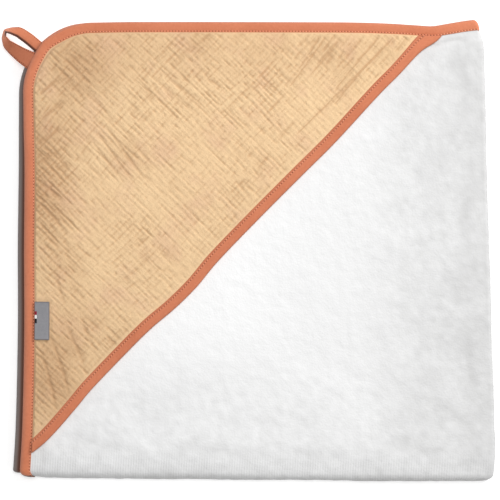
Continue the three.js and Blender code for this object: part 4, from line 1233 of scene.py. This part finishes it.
def stitch_tree():
    """A tree that lays small rounded stitches evenly along a line."""
    tree = bpy.data.node_groups.new("Row of stitches", "GeometryNodeTree")
    for title, kind in STITCH_INPUTS.items():
        tree.interface.new_socket(title, in_out="INPUT", socket_type="NodeSocket" + kind)
    tree.interface.new_socket("Geometry", in_out="OUTPUT", socket_type="NodeSocketGeometry")

    def node(kind, **settings):
        made = tree.nodes.new(kind)
        for key, value in settings.items():
            setattr(made, key, value)
        return made

    given = node("NodeGroupInput")
    result = node("NodeGroupOutput")
    line = node("GeometryNodeMeshToCurve")
    spread = node("GeometryNodeResampleCurve", mode="COUNT")
    tangent = node("GeometryNodeInputTangent")
    turn = node("FunctionNodeAlignRotationToVector", axis="X")
    bead = node("GeometryNodeMeshUVSphere")
    for key, value in (("Segments", STITCH["around"]), ("Rings", STITCH["rings"]), ("Radius", 0.5)):
        bead.inputs[key].default_value = value
    size = node("ShaderNodeCombineXYZ")
    shape = node("GeometryNodeTransform")
    place = node("GeometryNodeInstanceOnPoints")
    real = node("GeometryNodeRealizeInstances")
    smooth = node("GeometryNodeSetShadeSmooth")
    finish = node("GeometryNodeSetMaterial")

    for giver, out, taker, into in (
        (given, "Geometry", line, "Mesh"),
        (line, "Curve", spread, "Curve"),
        (given, "Count", spread, "Count"),
        (tangent, "Tangent", turn, "Vector"),
        (given, "Length", size, "X"),
        (given, "Thread", size, "Y"),
        (given, "Thread", size, "Z"),
        (bead, "Mesh", shape, "Geometry"),
        (size, "Vector", shape, "Scale"),
        (spread, "Curve", place, "Points"),
        (shape, "Geometry", place, "Instance"),
        (turn, "Rotation", place, "Rotation"),
        (place, "Instances", real, "Geometry"),
        (real, "Geometry", smooth, "Geometry"),
        (smooth, "Geometry", finish, "Geometry"),
        (given, "Material", finish, "Material"),
        (finish, "Geometry", result, "Geometry"),
    ):
        tree.links.new(giver.outputs[out], taker.inputs[into])
    return tree


def sew(name, line, pitch, thread_material, tree):
    """A piece with one row of stitches along a line of points in millimetres."""
    mesh = bpy.data.meshes.new(name + "_line")
    ends = [(i, i + 1) for i in range(len(line) - 1)]
    mesh.from_pydata(((line + SHIFT) * MM).tolist(), ends, [])
    carrier = bpy.data.objects.new(name + "_line", mesh)
    bpy.context.scene.collection.objects.link(carrier)
    values = {
        "Count": round(path_lengths(line)[-1] / pitch) + 1,
        "Length": STITCH["length"] / STITCH["pitch"] * pitch * MM,
        "Thread": STITCH["thread"] * MM,
        "Material": thread_material,
    }
    modifier = carrier.modifiers.new("stitches", "NODES")
    modifier.node_group = tree
    for item in tree.interface.items_tree:
        if item.in_out == "INPUT" and item.name in values:
            modifier[item.identifier] = values[item.name]
    seen = carrier.evaluated_get(bpy.context.evaluated_depsgraph_get())
    sewn = bpy.data.objects.new(name, bpy.data.meshes.new_from_object(seen))
    bpy.context.scene.collection.objects.link(sewn)
    bpy.data.objects.remove(carrier)
    print(name, values["Count"], "stitches")
    return sewn


sewing = stitch_tree()
print("tree inputs:", [item.name for item in sewing.interface.items_tree if item.in_out == "INPUT"])

# %% [markdown]
# ## Materials
# All four cloths are cotton, so they share a few shader groups: a plain weave, an uneven dye, and the row
# of needle holes that sewing leaves. Each material places those groups with its own values. The terry has a
# group of its own for its loops. Roughness and sheen are the same all over a cloth, so they are set on the
# shader's own sockets.

# %% Small helpers for shader nodes


class Nodes:
    """Adds nodes to a tree and links them, with fewer words."""

    def __init__(self, tree):
        self.tree = tree

    def add(self, kind, inputs=None, **settings):
        """A node, its settings, and its inputs as values or as outputs to link."""
        made = self.tree.nodes.new(kind)
        for key, value in settings.items():
            setattr(made, key, value)
        for key, value in (inputs or {}).items():
            if isinstance(value, bpy.types.NodeSocket):
                self.tree.links.new(value, made.inputs[key])
            else:
                made.inputs[key].default_value = value
        return made

    def math(self, operation, first, second=0.0, third=0.0):
        """One Math node's output."""
        return self.add("ShaderNodeMath", {0: first, 1: second, 2: third}, operation=operation).outputs[0]

    def times(self, first, second):
        """The product of two values."""
        return self.math("MULTIPLY", first, second)

    def mix(self, share, first, second):
        """The output of a node that mixes two colours."""
        return self.add("ShaderNodeMix", {0: share, 6: first, 7: second}, data_type="RGBA").outputs[2]

    def specks(self, place, scale, detail=2.0):
        """The value of a noise texture."""
        inputs = {"Vector": place, "Scale": scale, "Detail": detail}
        return self.add("ShaderNodeTexNoise", inputs).outputs["Fac"]

    def mark(self, name):
        """The value of one of the attributes that the mesh code wrote on its points."""
        return self.add("ShaderNodeAttribute", attribute_name=name).outputs["Fac"]

    def parts(self, place):
        """The three numbers of a place."""
        return self.add("ShaderNodeSeparateXYZ", {0: place}).outputs

    def group(self, shared, inputs):
        """The outputs of one of the shared groups, placed here with its own values."""
        return self.add("ShaderNodeGroup", inputs, node_tree=shared).outputs

    def fade(self, value, span, result, kind="LINEAR"):
        """A value that runs through the result as another one runs through the span."""
        inputs = {0: value, 1: span[0], 2: span[1], 3: result[0], 4: result[1]}
        return self.add("ShaderNodeMapRange", inputs, interpolation_type=kind).outputs[0]


def shader_group(name, inputs, outputs):
    """An empty shader group with named sockets, and its input and output nodes."""
    tree = bpy.data.node_groups.new(name, "ShaderNodeTree")
    for socket_name, kind, value in inputs:
        made = tree.interface.new_socket(socket_name, in_out="INPUT", socket_type=kind)
        if value is not None:
            made.default_value = value
    for socket_name, kind in outputs:
        tree.interface.new_socket(socket_name, in_out="OUTPUT", socket_type=kind)
    nodes = Nodes(tree)
    return tree, nodes, nodes.add("NodeGroupInput").outputs, nodes.add("NodeGroupOutput")


FLOAT, VECTOR, COLOUR = "NodeSocketFloat", "NodeSocketVector", "NodeSocketColor"
print("shader helpers ready")

# %% The shared groups: a plain weave and an uneven dye
DYE = {"clouds": 16.0, "slubs": 420.0, "cloud_share": 0.6, "slub_share": 0.4}


def weave_group():
    """A plain weave: threads pass over and under each other in both directions."""
    tree, nodes, given, result = shader_group(
        "Plain weave",
        [("Place", VECTOR, None), ("Threads per metre", FLOAT, 2000.0)],
        [("Height", FLOAT)],
    )
    inputs = {0: given["Place"], "Scale": given["Threads per metre"]}
    scaled = nodes.add("ShaderNodeVectorMath", inputs, operation="SCALE").outputs[0]
    turns = [nodes.times(part, math.pi) for part in nodes.parts(scaled)[:2]]
    warp, weft = [nodes.math("ABSOLUTE", nodes.math("SINE", turn)) for turn in turns]
    over = nodes.times(*[nodes.math("COSINE", turn) for turn in turns])
    share = nodes.math("MULTIPLY_ADD", over, 0.5, 0.5)
    rest = nodes.math("SUBTRACT", 1.0, share)
    height = nodes.math("ADD", nodes.times(warp, share), nodes.times(weft, rest))
    tree.links.new(height, result.inputs["Height"])
    return tree


def dye_group():
    """A colour that varies a little over the cloth, in soft clouds and in fine slubs."""
    tree, nodes, given, result = shader_group(
        "Uneven dye",
        [("Place", VECTOR, None), ("Colour", COLOUR, None), ("Deep colour", COLOUR, None),
         ("Amount", FLOAT, 0.5)],
        [("Colour", COLOUR)],
    )
    clouds = nodes.specks(given["Place"], DYE["clouds"], detail=3.0)
    slubs = nodes.specks(given["Place"], DYE["slubs"])
    both = nodes.math("MULTIPLY_ADD", clouds, DYE["cloud_share"], nodes.times(slubs, DYE["slub_share"]))
    share = nodes.times(both, given["Amount"])
    tree.links.new(nodes.mix(share, given["Colour"], given["Deep colour"]), result.inputs["Colour"])
    return tree


weave, dye = weave_group(), dye_group()
print("groups:", weave.name, "and", dye.name)

# %% The shared groups: needle holes and terry loops
HOLE_RIM = (0.4, 1.0)
LOOPS = {"clumps": 240.0, "loop": 0.45, "clump": 0.9, "row": 0.45, "row_shade": -0.5}


def needle_group():
    """A row of small holes along one line of a strip, one between every two stitches."""
    tree, nodes, given, result = shader_group(
        "Needle holes",
        [("Along", FLOAT, 0.0), ("Across", FLOAT, 0.0), ("Pitch", FLOAT, 0.0026), ("Line", FLOAT, 0.008),
         ("Radius", FLOAT, 0.0006)],
        [("Mask", FLOAT)],
    )
    step = nodes.math("FRACT", nodes.math("DIVIDE", given["Along"], given["Pitch"]))
    along = nodes.times(nodes.math("SUBTRACT", step, 0.5), given["Pitch"])
    across = nodes.math("SUBTRACT", nodes.math("ABSOLUTE", given["Across"]), given["Line"])
    squares = nodes.math("ADD", nodes.times(along, along), nodes.times(across, across))
    far = nodes.math("DIVIDE", nodes.math("SQRT", squares), given["Radius"])
    mask = nodes.fade(far, HOLE_RIM, (1.0, 0.0), "SMOOTHSTEP")
    tree.links.new(mask, result.inputs["Mask"])
    return tree


def loops_group():
    """Terry's loops: small uneven bumps, in rows where the cloth is stretched round a fold."""
    tree, nodes, given, result = shader_group(
        "Terry loops",
        [("Place", VECTOR, None), ("Loops per metre", FLOAT, 620.0), ("Row pitch", FLOAT, 0.0021),
         ("Rows", FLOAT, 0.0)],
        [("Height", FLOAT), ("Shade", FLOAT)],
    )
    cells = nodes.add("ShaderNodeTexVoronoi", {"Vector": given["Place"], "Scale": given["Loops per metre"]})
    bump = nodes.math("SUBTRACT", 1.0, cells.outputs["Distance"])
    clumps = nodes.specks(given["Place"], LOOPS["clumps"], detail=3.0)
    parts = nodes.parts(given["Place"])
    turns = nodes.math("DIVIDE", parts[0], given["Row pitch"])
    row = nodes.math("SINE", nodes.times(turns, 2 * math.pi))
    rows = nodes.times(nodes.math("MULTIPLY_ADD", row, 0.5, 0.5), given["Rows"])
    soft = nodes.math("MULTIPLY_ADD", bump, LOOPS["loop"], nodes.times(clumps, LOOPS["clump"]))
    height = nodes.math("MULTIPLY_ADD", rows, LOOPS["row"], soft)
    # Shade: painted shade between the clumps and the rows of loops
    between = nodes.math("SUBTRACT", 1.0, clumps)
    shade = nodes.math("MULTIPLY_ADD", rows, LOOPS["row_shade"], between)
    tree.links.new(height, result.inputs["Height"])
    tree.links.new(shade, result.inputs["Shade"])
    return tree


needle, loops = needle_group(), loops_group()
print("groups:", needle.name, "and", loops.name)

# %% Helpers for the cloths
SHEEN_ROUGHNESS = 0.55
SPECULAR_LEVEL = 0.25


def linear(red, green, blue):
    """A colour picked on a screen, from 0 to 255, as the light values that shaders use."""
    parts = [part / 255 for part in (red, green, blue)]
    return (*[p / 12.92 if p <= 0.04045 else ((p + 0.055) / 1.055) ** 2.4 for p in parts], 1.0)


def cloth_material(name, roughness, sheen):
    """A cotton material with its shader, ready for its colour and its bump."""
    material = bpy.data.materials.new(name)
    material.use_nodes = True
    material.node_tree.nodes.clear()
    nodes = Nodes(material.node_tree)
    inputs = {"Roughness": roughness, "Sheen Weight": sheen, "Sheen Roughness": SHEEN_ROUGHNESS,
              "Specular IOR Level": SPECULAR_LEVEL}
    shader = nodes.add("ShaderNodeBsdfPrincipled", inputs)
    end = nodes.add("ShaderNodeOutputMaterial")
    material.node_tree.links.new(shader.outputs[0], end.inputs["Surface"])
    flat = nodes.add("ShaderNodeUVMap", uv_map="flat").outputs[0]
    return material, nodes, shader, flat


def dyed(nodes, place, tones, amount):
    """The cloth's own colour, which varies between a light and a deep tone."""
    inputs = {"Place": place, "Colour": tones["light"], "Deep colour": tones["deep"], "Amount": amount}
    return nodes.group(dye, inputs)["Colour"]


def finish_cloth(nodes, shader, colour, height, distance, strength):
    """Feeds a colour and a height in metres to the shader."""
    bump = nodes.add("ShaderNodeBump", {"Height": height, "Distance": distance, "Strength": strength})
    nodes.tree.links.new(bump.outputs[0], shader.inputs["Normal"])
    nodes.tree.links.new(colour, shader.inputs["Base Color"])


print("middle grey on a screen is", round(linear(128, 128, 128)[0], 3), "in light")

# %% [markdown]
# ### Terry
# The pile is white. Towards both folds and in its creases' troughs it is painted greyer, as painted shade:
# single loops are too fine for the mesh, so the shadow between them can't be left to the light. The mesh
# code has marked where, the material mixes greys in there and paints fine shade between clumps of loops.
# Where the cloth turns down at a fold it gets a soft dark line of painted shade.

# %% The terry's material
# Every tone here but light and deep is painted shade
TERRY_TONES = {"light": linear(249, 249, 249), "deep": linear(243, 243, 243), "opened": linear(206, 206, 206),
               "between": linear(196, 194, 191), "turned": linear(132, 128, 126)}
TERRY_SHARES = {"dye": 0.9, "opened": 0.5, "between": (0.16, 0.04), "turned": 0.75}


def terry_material():
    """White cotton pile, with painted grey shade towards the folds and a painted dark line where it turns
    down.
    """
    material, nodes, shader, flat = cloth_material("White terry", roughness=0.95, sheen=0.2)
    opened = nodes.mark("opened")
    pile_out = nodes.group(loops, {"Place": flat, "Rows": nodes.mark("ribs")})
    base = dyed(nodes, flat, TERRY_TONES, TERRY_SHARES["dye"])
    greyer = nodes.mix(nodes.times(opened, TERRY_SHARES["opened"]), base, TERRY_TONES["opened"])
    between = nodes.times(pile_out["Shade"], nodes.math("MULTIPLY_ADD", opened, *TERRY_SHARES["between"]))
    shaded = nodes.mix(between, greyer, TERRY_TONES["between"])
    # Painted shade: the soft dark line along each fold
    turned = nodes.times(nodes.mark("turned"), TERRY_SHARES["turned"])
    shadowed = nodes.mix(turned, shaded, TERRY_TONES["turned"])
    finish_cloth(nodes, shader, shadowed, pile_out["Height"], distance=0.0004, strength=0.7)
    return material


white_terry = terry_material()
print(white_terry.name, "has", len(white_terry.node_tree.nodes), "nodes")

# %% [markdown]
# ### Gauze
# Sand-coloured gauze is thin, so two layers that lie close in a furrow look deeper. Light alone gives the
# furrows too little contrast, and a painted pattern would not fit them. So the material paints shade into
# each furrow by how deep the point lies, which the mesh code wrote down, and paints shade towards the bound
# edges and the corner where the mesh code marked it. It adds slow clouds of a warmer tone.

# %% The gauze's material
# The shade tone is painted shade; the furrow tone is painted shade and partly two layers lying close
GAUZE_TONES = {"light": linear(248, 216, 171), "deep": linear(234, 196, 151), "shade": linear(205, 166, 126),
               "rosy": linear(228, 184, 154), "furrow": linear(168, 124, 86), "thread": linear(196, 152, 106)}
GAUZE_SHARES = {"dye": 0.8, "shade": 0.9, "furrow": 0.5, "thread": (-0.16, 0.16)}
GAUZE_GRAIN = {"threads": 1500.0, "clouds": 34.0, "crepe": 620.0, "thread_height": 0.2}
ROSY = {"from": (0.52, 0.72), "share": (0.0, 0.38)}


def gauze_material():
    """Sand-coloured double gauze, darker in its furrows, partly because two layers lie close and partly as
    painted shade.
    """
    material, nodes, shader, flat = cloth_material("Sand gauze", roughness=0.9, sheen=0.15)
    threads = nodes.group(weave, {"Place": flat, "Threads per metre": GAUZE_GRAIN["threads"]})["Height"]
    base = dyed(nodes, flat, GAUZE_TONES, GAUZE_SHARES["dye"])
    shaded = nodes.mix(nodes.times(nodes.mark("shade"), GAUZE_SHARES["shade"]), base, GAUZE_TONES["shade"])
    warm = nodes.fade(nodes.specks(flat, GAUZE_GRAIN["clouds"]), ROSY["from"], ROSY["share"])
    rosy = nodes.mix(warm, shaded, GAUZE_TONES["rosy"])
    furrow = nodes.times(nodes.mark("furrow"), GAUZE_SHARES["furrow"])
    deep = nodes.mix(furrow, rosy, GAUZE_TONES["furrow"])
    thread_share = nodes.math("MULTIPLY_ADD", threads, *GAUZE_SHARES["thread"])
    woven = nodes.mix(thread_share, deep, GAUZE_TONES["thread"])
    crepe = nodes.specks(flat, GAUZE_GRAIN["crepe"])
    height = nodes.math("MULTIPLY_ADD", threads, GAUZE_GRAIN["thread_height"], crepe)
    finish_cloth(nodes, shader, woven, height, distance=0.0006, strength=0.8)
    return material


sand_gauze = gauze_material()
print(sand_gauze.name, "has", len(sand_gauze.node_tree.nodes), "nodes")

# %% [markdown]
# ### Bias strip, thread and tape
# The strip is cut across the cloth, so its weave runs slantwise, and the needle leaves a dent between every
# two stitches. A picture could show both, but it would stretch at the corners. The strip's UV map runs
# along its own length instead, so one group can put a hole exactly between the stitches. Where it lies in
# shade, the shade is painted into its colour, by marks that the mesh code wrote.

# %% The strips' material
# The hole tone is painted shade in the needle dents, and the last tone a painted shadow under the layer above
STRIP_TONES = {"light": linear(232, 146, 108), "deep": linear(182, 95, 60), "hole": linear(120, 54, 34),
               "crevice_shadow": linear(98, 56, 34)}
STRIP_SHARES = {"dye": 0.95, "hole": 0.7}
STRIP_GRAIN = {"threads": 1700.0, "thread_height": 0.3, "slant": math.radians(45)}


def strip_material(name, line, pitch, shade_tone):
    """Terracotta bias strip. Its weave runs slantwise, because it is cut across the cloth."""
    material, nodes, shader, flat = cloth_material(name, roughness=0.62, sheen=0.12)
    turn = {"Vector": flat, "Angle": STRIP_GRAIN["slant"]}
    slanted = nodes.add("ShaderNodeVectorRotate", turn, rotation_type="Z_AXIS").outputs[0]
    threads = nodes.group(weave, {"Place": slanted, "Threads per metre": STRIP_GRAIN["threads"]})["Height"]
    base = dyed(nodes, flat, STRIP_TONES, STRIP_SHARES["dye"])
    parts = nodes.parts(flat)
    row = {"Along": parts[0], "Across": parts[1], "Pitch": pitch, "Line": line}
    # The needle holes dent the bump, and painted shade darkens their colour
    holes = nodes.group(needle, row)["Mask"]
    pricked = nodes.mix(nodes.times(holes, STRIP_SHARES["hole"]), base, STRIP_TONES["hole"])
    # Painted shade where the mesh marked it, then a painted shadow where the strip goes under the layer above
    shaded_strip = nodes.mix(nodes.mark("painted_shade"), pricked, shade_tone)
    toned = nodes.mix(nodes.mark("crevice_shadow"), shaded_strip, STRIP_TONES["crevice_shadow"])
    height = nodes.math("SUBTRACT", nodes.times(threads, STRIP_GRAIN["thread_height"]), holes)
    finish_cloth(nodes, shader, toned, height, distance=0.00045, strength=0.8)
    return material


edge_pitch = edge_along[-1] / round(edge_along[-1] / STITCH["pitch"])
hood_pitch = slant_along[-1] / round(slant_along[-1] / STITCH["pitch"])
LOOP_SEAM = {"line": 0.42, "pitch": 1.8}
# Colours of painted shade: on the lower layers' strip, and on the hood strip and the loop
lower_strip_shade_tone, dark_shade_tone = linear(126, 117, 114), linear(84, 42, 26)
edge_cloth = strip_material("Terracotta edge strip", stitch_line_inset * MM, edge_pitch * MM, lower_strip_shade_tone)
hood_cloth = strip_material("Terracotta hood strip", hood_stitch_inset * MM, hood_pitch * MM, dark_shade_tone)
loop_seam_line = LOOP["width"] * LOOP_SEAM["line"] * MM
loop_cloth = strip_material("Terracotta ribbon", loop_seam_line, LOOP_SEAM["pitch"] * MM, dark_shade_tone)
print(f"stitches every {edge_pitch:.3f} mm on the edge and {hood_pitch:.3f} mm on the hood")

# %% The thread's material
THREAD_TONES = {"light": linear(252, 188, 156), "deep": linear(232, 152, 118)}
TWIST_SCALE = 900.0


def thread_material():
    """Sewing thread, a little lighter and glossier than the strip."""
    material, nodes, shader, _ = cloth_material("Sewing thread", roughness=0.5, sheen=0.1)
    place = nodes.add("ShaderNodeTexCoord").outputs["Object"]
    twist = nodes.specks(place, TWIST_SCALE)
    tone = nodes.mix(twist, THREAD_TONES["light"], THREAD_TONES["deep"])
    finish_cloth(nodes, shader, tone, twist, distance=0.0001, strength=0.5)
    return material


thread = thread_material()
print(thread.name, "is ready")

# %% The tape's material
TAPE_TONES = {"light": linear(172, 171, 174), "deep": linear(124, 123, 128), "thread": linear(106, 107, 114),
              "edge_shade": linear(100, 95, 94)}
TAPE_THREADS = {"per_metre": 1100.0, "share": (-0.35, 0.35)}
TAPE_EDGE_SHADE = {"from": (0.0003, 0.0012), "share": (0.6, 0.0)}
TAPE_BLOCKS = [
    {"top": 245.4, "bottom": 248.5, "colour": linear(142, 18, 44)},
    {"top": 248.5, "bottom": 251.6, "colour": linear(240, 238, 236)},
    {"top": 251.6, "bottom": 255.6, "colour": linear(18, 14, 22)},
]
TAPE_BLOCK_REACH = 1.9


def tab_material():
    """Grey woven tape, darker along its fold and ends as painted shade, and three small blocks of colour at
    its seam.
    """
    material, nodes, shader, flat = cloth_material("Grey tape", roughness=0.55, sheen=0.1)
    threads = nodes.group(weave, {"Place": flat, "Threads per metre": TAPE_THREADS["per_metre"]})["Height"]
    base = dyed(nodes, flat, TAPE_TONES, 1.0)
    along, down = nodes.parts(flat)[:2]
    thread_share = nodes.math("MULTIPLY_ADD", threads, *TAPE_THREADS["share"])
    woven = nodes.mix(thread_share, base, TAPE_TONES["thread"])
    middle = (LABEL["top"] + LABEL["length"] / 2) * MM
    right = (LABEL["from"] + LABEL["reach"]) * MM
    off = nodes.math("ABSOLUTE", nodes.math("SUBTRACT", down, middle))
    to_end = nodes.math("SUBTRACT", LABEL["length"] / 2 * MM, off)
    to_border = nodes.math("MINIMUM", to_end, nodes.math("SUBTRACT", right, along))
    # Painted shade along the tape's fold and ends
    edge_shade = nodes.fade(to_border, TAPE_EDGE_SHADE["from"], TAPE_EDGE_SHADE["share"])
    coloured = nodes.mix(edge_shade, woven, TAPE_TONES["edge_shade"])
    at_seam = nodes.math("LESS_THAN", along, (LABEL["from"] + TAPE_BLOCK_REACH) * MM)
    for block in TAPE_BLOCKS:
        below = nodes.math("GREATER_THAN", down, block["top"] * MM)
        above = nodes.math("LESS_THAN", down, block["bottom"] * MM)
        inside = nodes.times(nodes.times(below, above), at_seam)
        coloured = nodes.mix(inside, coloured, block["colour"])
    finish_cloth(nodes, shader, coloured, threads, distance=0.0003, strength=0.8)
    return material


grey_tape = tab_material()
print(grey_tape.name, "has", len(grey_tape.node_tree.nodes), "nodes")

# %% Give every piece its cloth
for piece, material in (
    (terry_top, white_terry),
    (terry_under, white_terry),
    (hood, sand_gauze),
    (edge_strip, edge_cloth),
    (hood_strip, hood_cloth),
    (loop, loop_cloth),
    (tab, grey_tape),
):
    piece.data.materials.append(material)
print("materials:", sorted(material.name for material in bpy.data.materials))

# %% Sew the rows
THREAD_SITS = {"edge": 0.78, "hood": 0.74}
EDGE_SKIN = BINDING["thickness"] / 2 * THREAD_SITS["edge"]
HOOD_SKIN = BINDING["thickness"] / 2 * THREAD_SITS["hood"]
closed_stations = np.concatenate([stations, stations[:1]])
front_row = edge_line(closed_stations, stitch_line_inset, EDGE_SKIN)
back_row = edge_line(closed_stations, stitch_line_inset, -EDGE_SKIN)
edge_stitches = sew("edge_stitches", front_row, edge_pitch, thread, sewing)
back_stitches = sew("back_stitches", back_row, edge_pitch, thread, sewing)
hood_stitches = sew("hood_stitches", hood_line(hood_stitch_inset, HOOD_SKIN), hood_pitch, thread, sewing)
all_stitches = (edge_stitches, back_stitches, hood_stitches)
print("stitches:", sum(triangles_of(row) for row in all_stitches), "triangles")

# %% [markdown]
# ## Handing the pieces to the frame
# Every piece says which body it moves with, which solid it stands for and which finish it takes. The
# towel has no joint, so everything rides on one body.

DRESS = [
    (terry_top, "terry_top_layer", "terry"),
    (terry_under, "terry_hidden_layers", "terry"),
    (hood, "hood_panel", "gauze"),
    (hood_strip, "hood_edge_binding", "binding"),
    (edge_strip, "edge_binding", "binding"),
    (loop, "hanging_loop", "binding"),
    (tab, "label", "tab"),
]
for piece, node, slot in DRESS:
    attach(piece, "root")
    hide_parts(node)
for piece in all_stitches:
    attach(piece, "root")

print("declared", len(DRESS), "sheets")

# %% [markdown]
# ## Floor, light and camera
# The towel is a plain flat lay: the camera looks straight down, and a large soft light stands a little to
# the right, so that the furrows show and the left edge of the lower layers falls partly in shade; the rest
# of that shade is painted onto the strip. A pale floor that glows very slightly keeps the shadows round the
# towel faint.

# %% The floor
FLOOR = {"half": 4.0, "drop": 0.0004, "grain": 4.0, "light": linear(253, 253, 253),
         "deep": linear(250, 250, 250)}
FLOOR_FINISH = {"Roughness": 0.9, "Specular IOR Level": 0.1, "Emission Color": (1, 1, 1, 1),
                "Emission Strength": 0.34}


def floor_material():
    """A matt, nearly white floor."""
    material = bpy.data.materials.new("Pale floor")
    material.use_nodes = True
    nodes = Nodes(material.node_tree)
    shader = material.node_tree.nodes["Principled BSDF"]
    place = nodes.add("ShaderNodeTexCoord").outputs["Object"]
    grain = nodes.specks(place, FLOOR["grain"])
    tone = nodes.mix(grain, FLOOR["light"], FLOOR["deep"])
    nodes.tree.links.new(tone, shader.inputs["Base Color"])
    for key, value in FLOOR_FINISH.items():
        shader.inputs[key].default_value = value
    return material


floor_mesh = bpy.data.meshes.new("floor")
floor_signs = [(-1, -1), (1, -1), (1, 1), (-1, 1)]
floor_corners = [(x * FLOOR["half"], y * FLOOR["half"], -FLOOR["drop"]) for x, y in floor_signs]
floor_mesh.from_pydata(floor_corners, [], [(0, 1, 2, 3)])
floor_mesh.materials.append(floor_material())
floor = bpy.data.objects.new("floor", floor_mesh)
bpy.context.scene.collection.objects.link(floor)
floor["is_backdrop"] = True
print("floor", 2 * FLOOR["half"], "m wide")

# %% The lights
LIGHTS = [
    {"name": "overhead", "place": (-0.1, 0.2, 1.9), "size": 1.0, "power": 15},
    {"name": "from_upper_right", "place": (1.15, 1.05, 1.05), "size": 0.6, "power": 22},
]
WORLD_STRENGTH = 0.35


def soft_light(name, place, size, power):
    """A square soft light at a place, aimed at the middle of the towel."""
    data = bpy.data.lights.new(name, "AREA")
    data.shape = "SQUARE"
    data.size = size
    data.energy = power
    light = bpy.data.objects.new(name, data)
    light.location = place
    light.rotation_euler = light.location.to_track_quat("Z", "Y").to_euler()
    bpy.context.scene.collection.objects.link(light)


for row in LIGHTS:
    soft_light(**row)
world = bpy.data.worlds.new("studio")
bpy.context.scene.world = world
world.use_nodes = True
background = world.node_tree.nodes["Background"]
background.inputs["Color"].default_value = (1, 1, 1, 1)
background.inputs["Strength"].default_value = WORLD_STRENGTH
bpy.context.scene.view_settings.view_transform = "Standard"
print("lights:", [row["name"] for row in LIGHTS])

# %% The camera
PHOTO_WIDTH = 0.4225
CAMERA_HEIGHT = 1.6
FOCUS_HEIGHT = 0.0145
SENSOR = 36.0

camera = bpy.data.objects.new("camera", bpy.data.cameras.new("camera"))
camera.data.sensor_width = SENSOR
camera.data.lens = SENSOR * (CAMERA_HEIGHT - FOCUS_HEIGHT) / PHOTO_WIDTH
camera.location = (SHIFT[0] * MM, SHIFT[1] * MM, CAMERA_HEIGHT)
bpy.context.scene.collection.objects.link(camera)
bpy.context.scene.camera = camera
print(f"camera {CAMERA_HEIGHT} m up with a {camera.data.lens:.0f} mm lens")

# %% Measure the sizes and finish
boxes = {"cad": cad_box, "visual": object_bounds()}
{key: [list(corner) for corner in box] for key, box in boxes.items()}
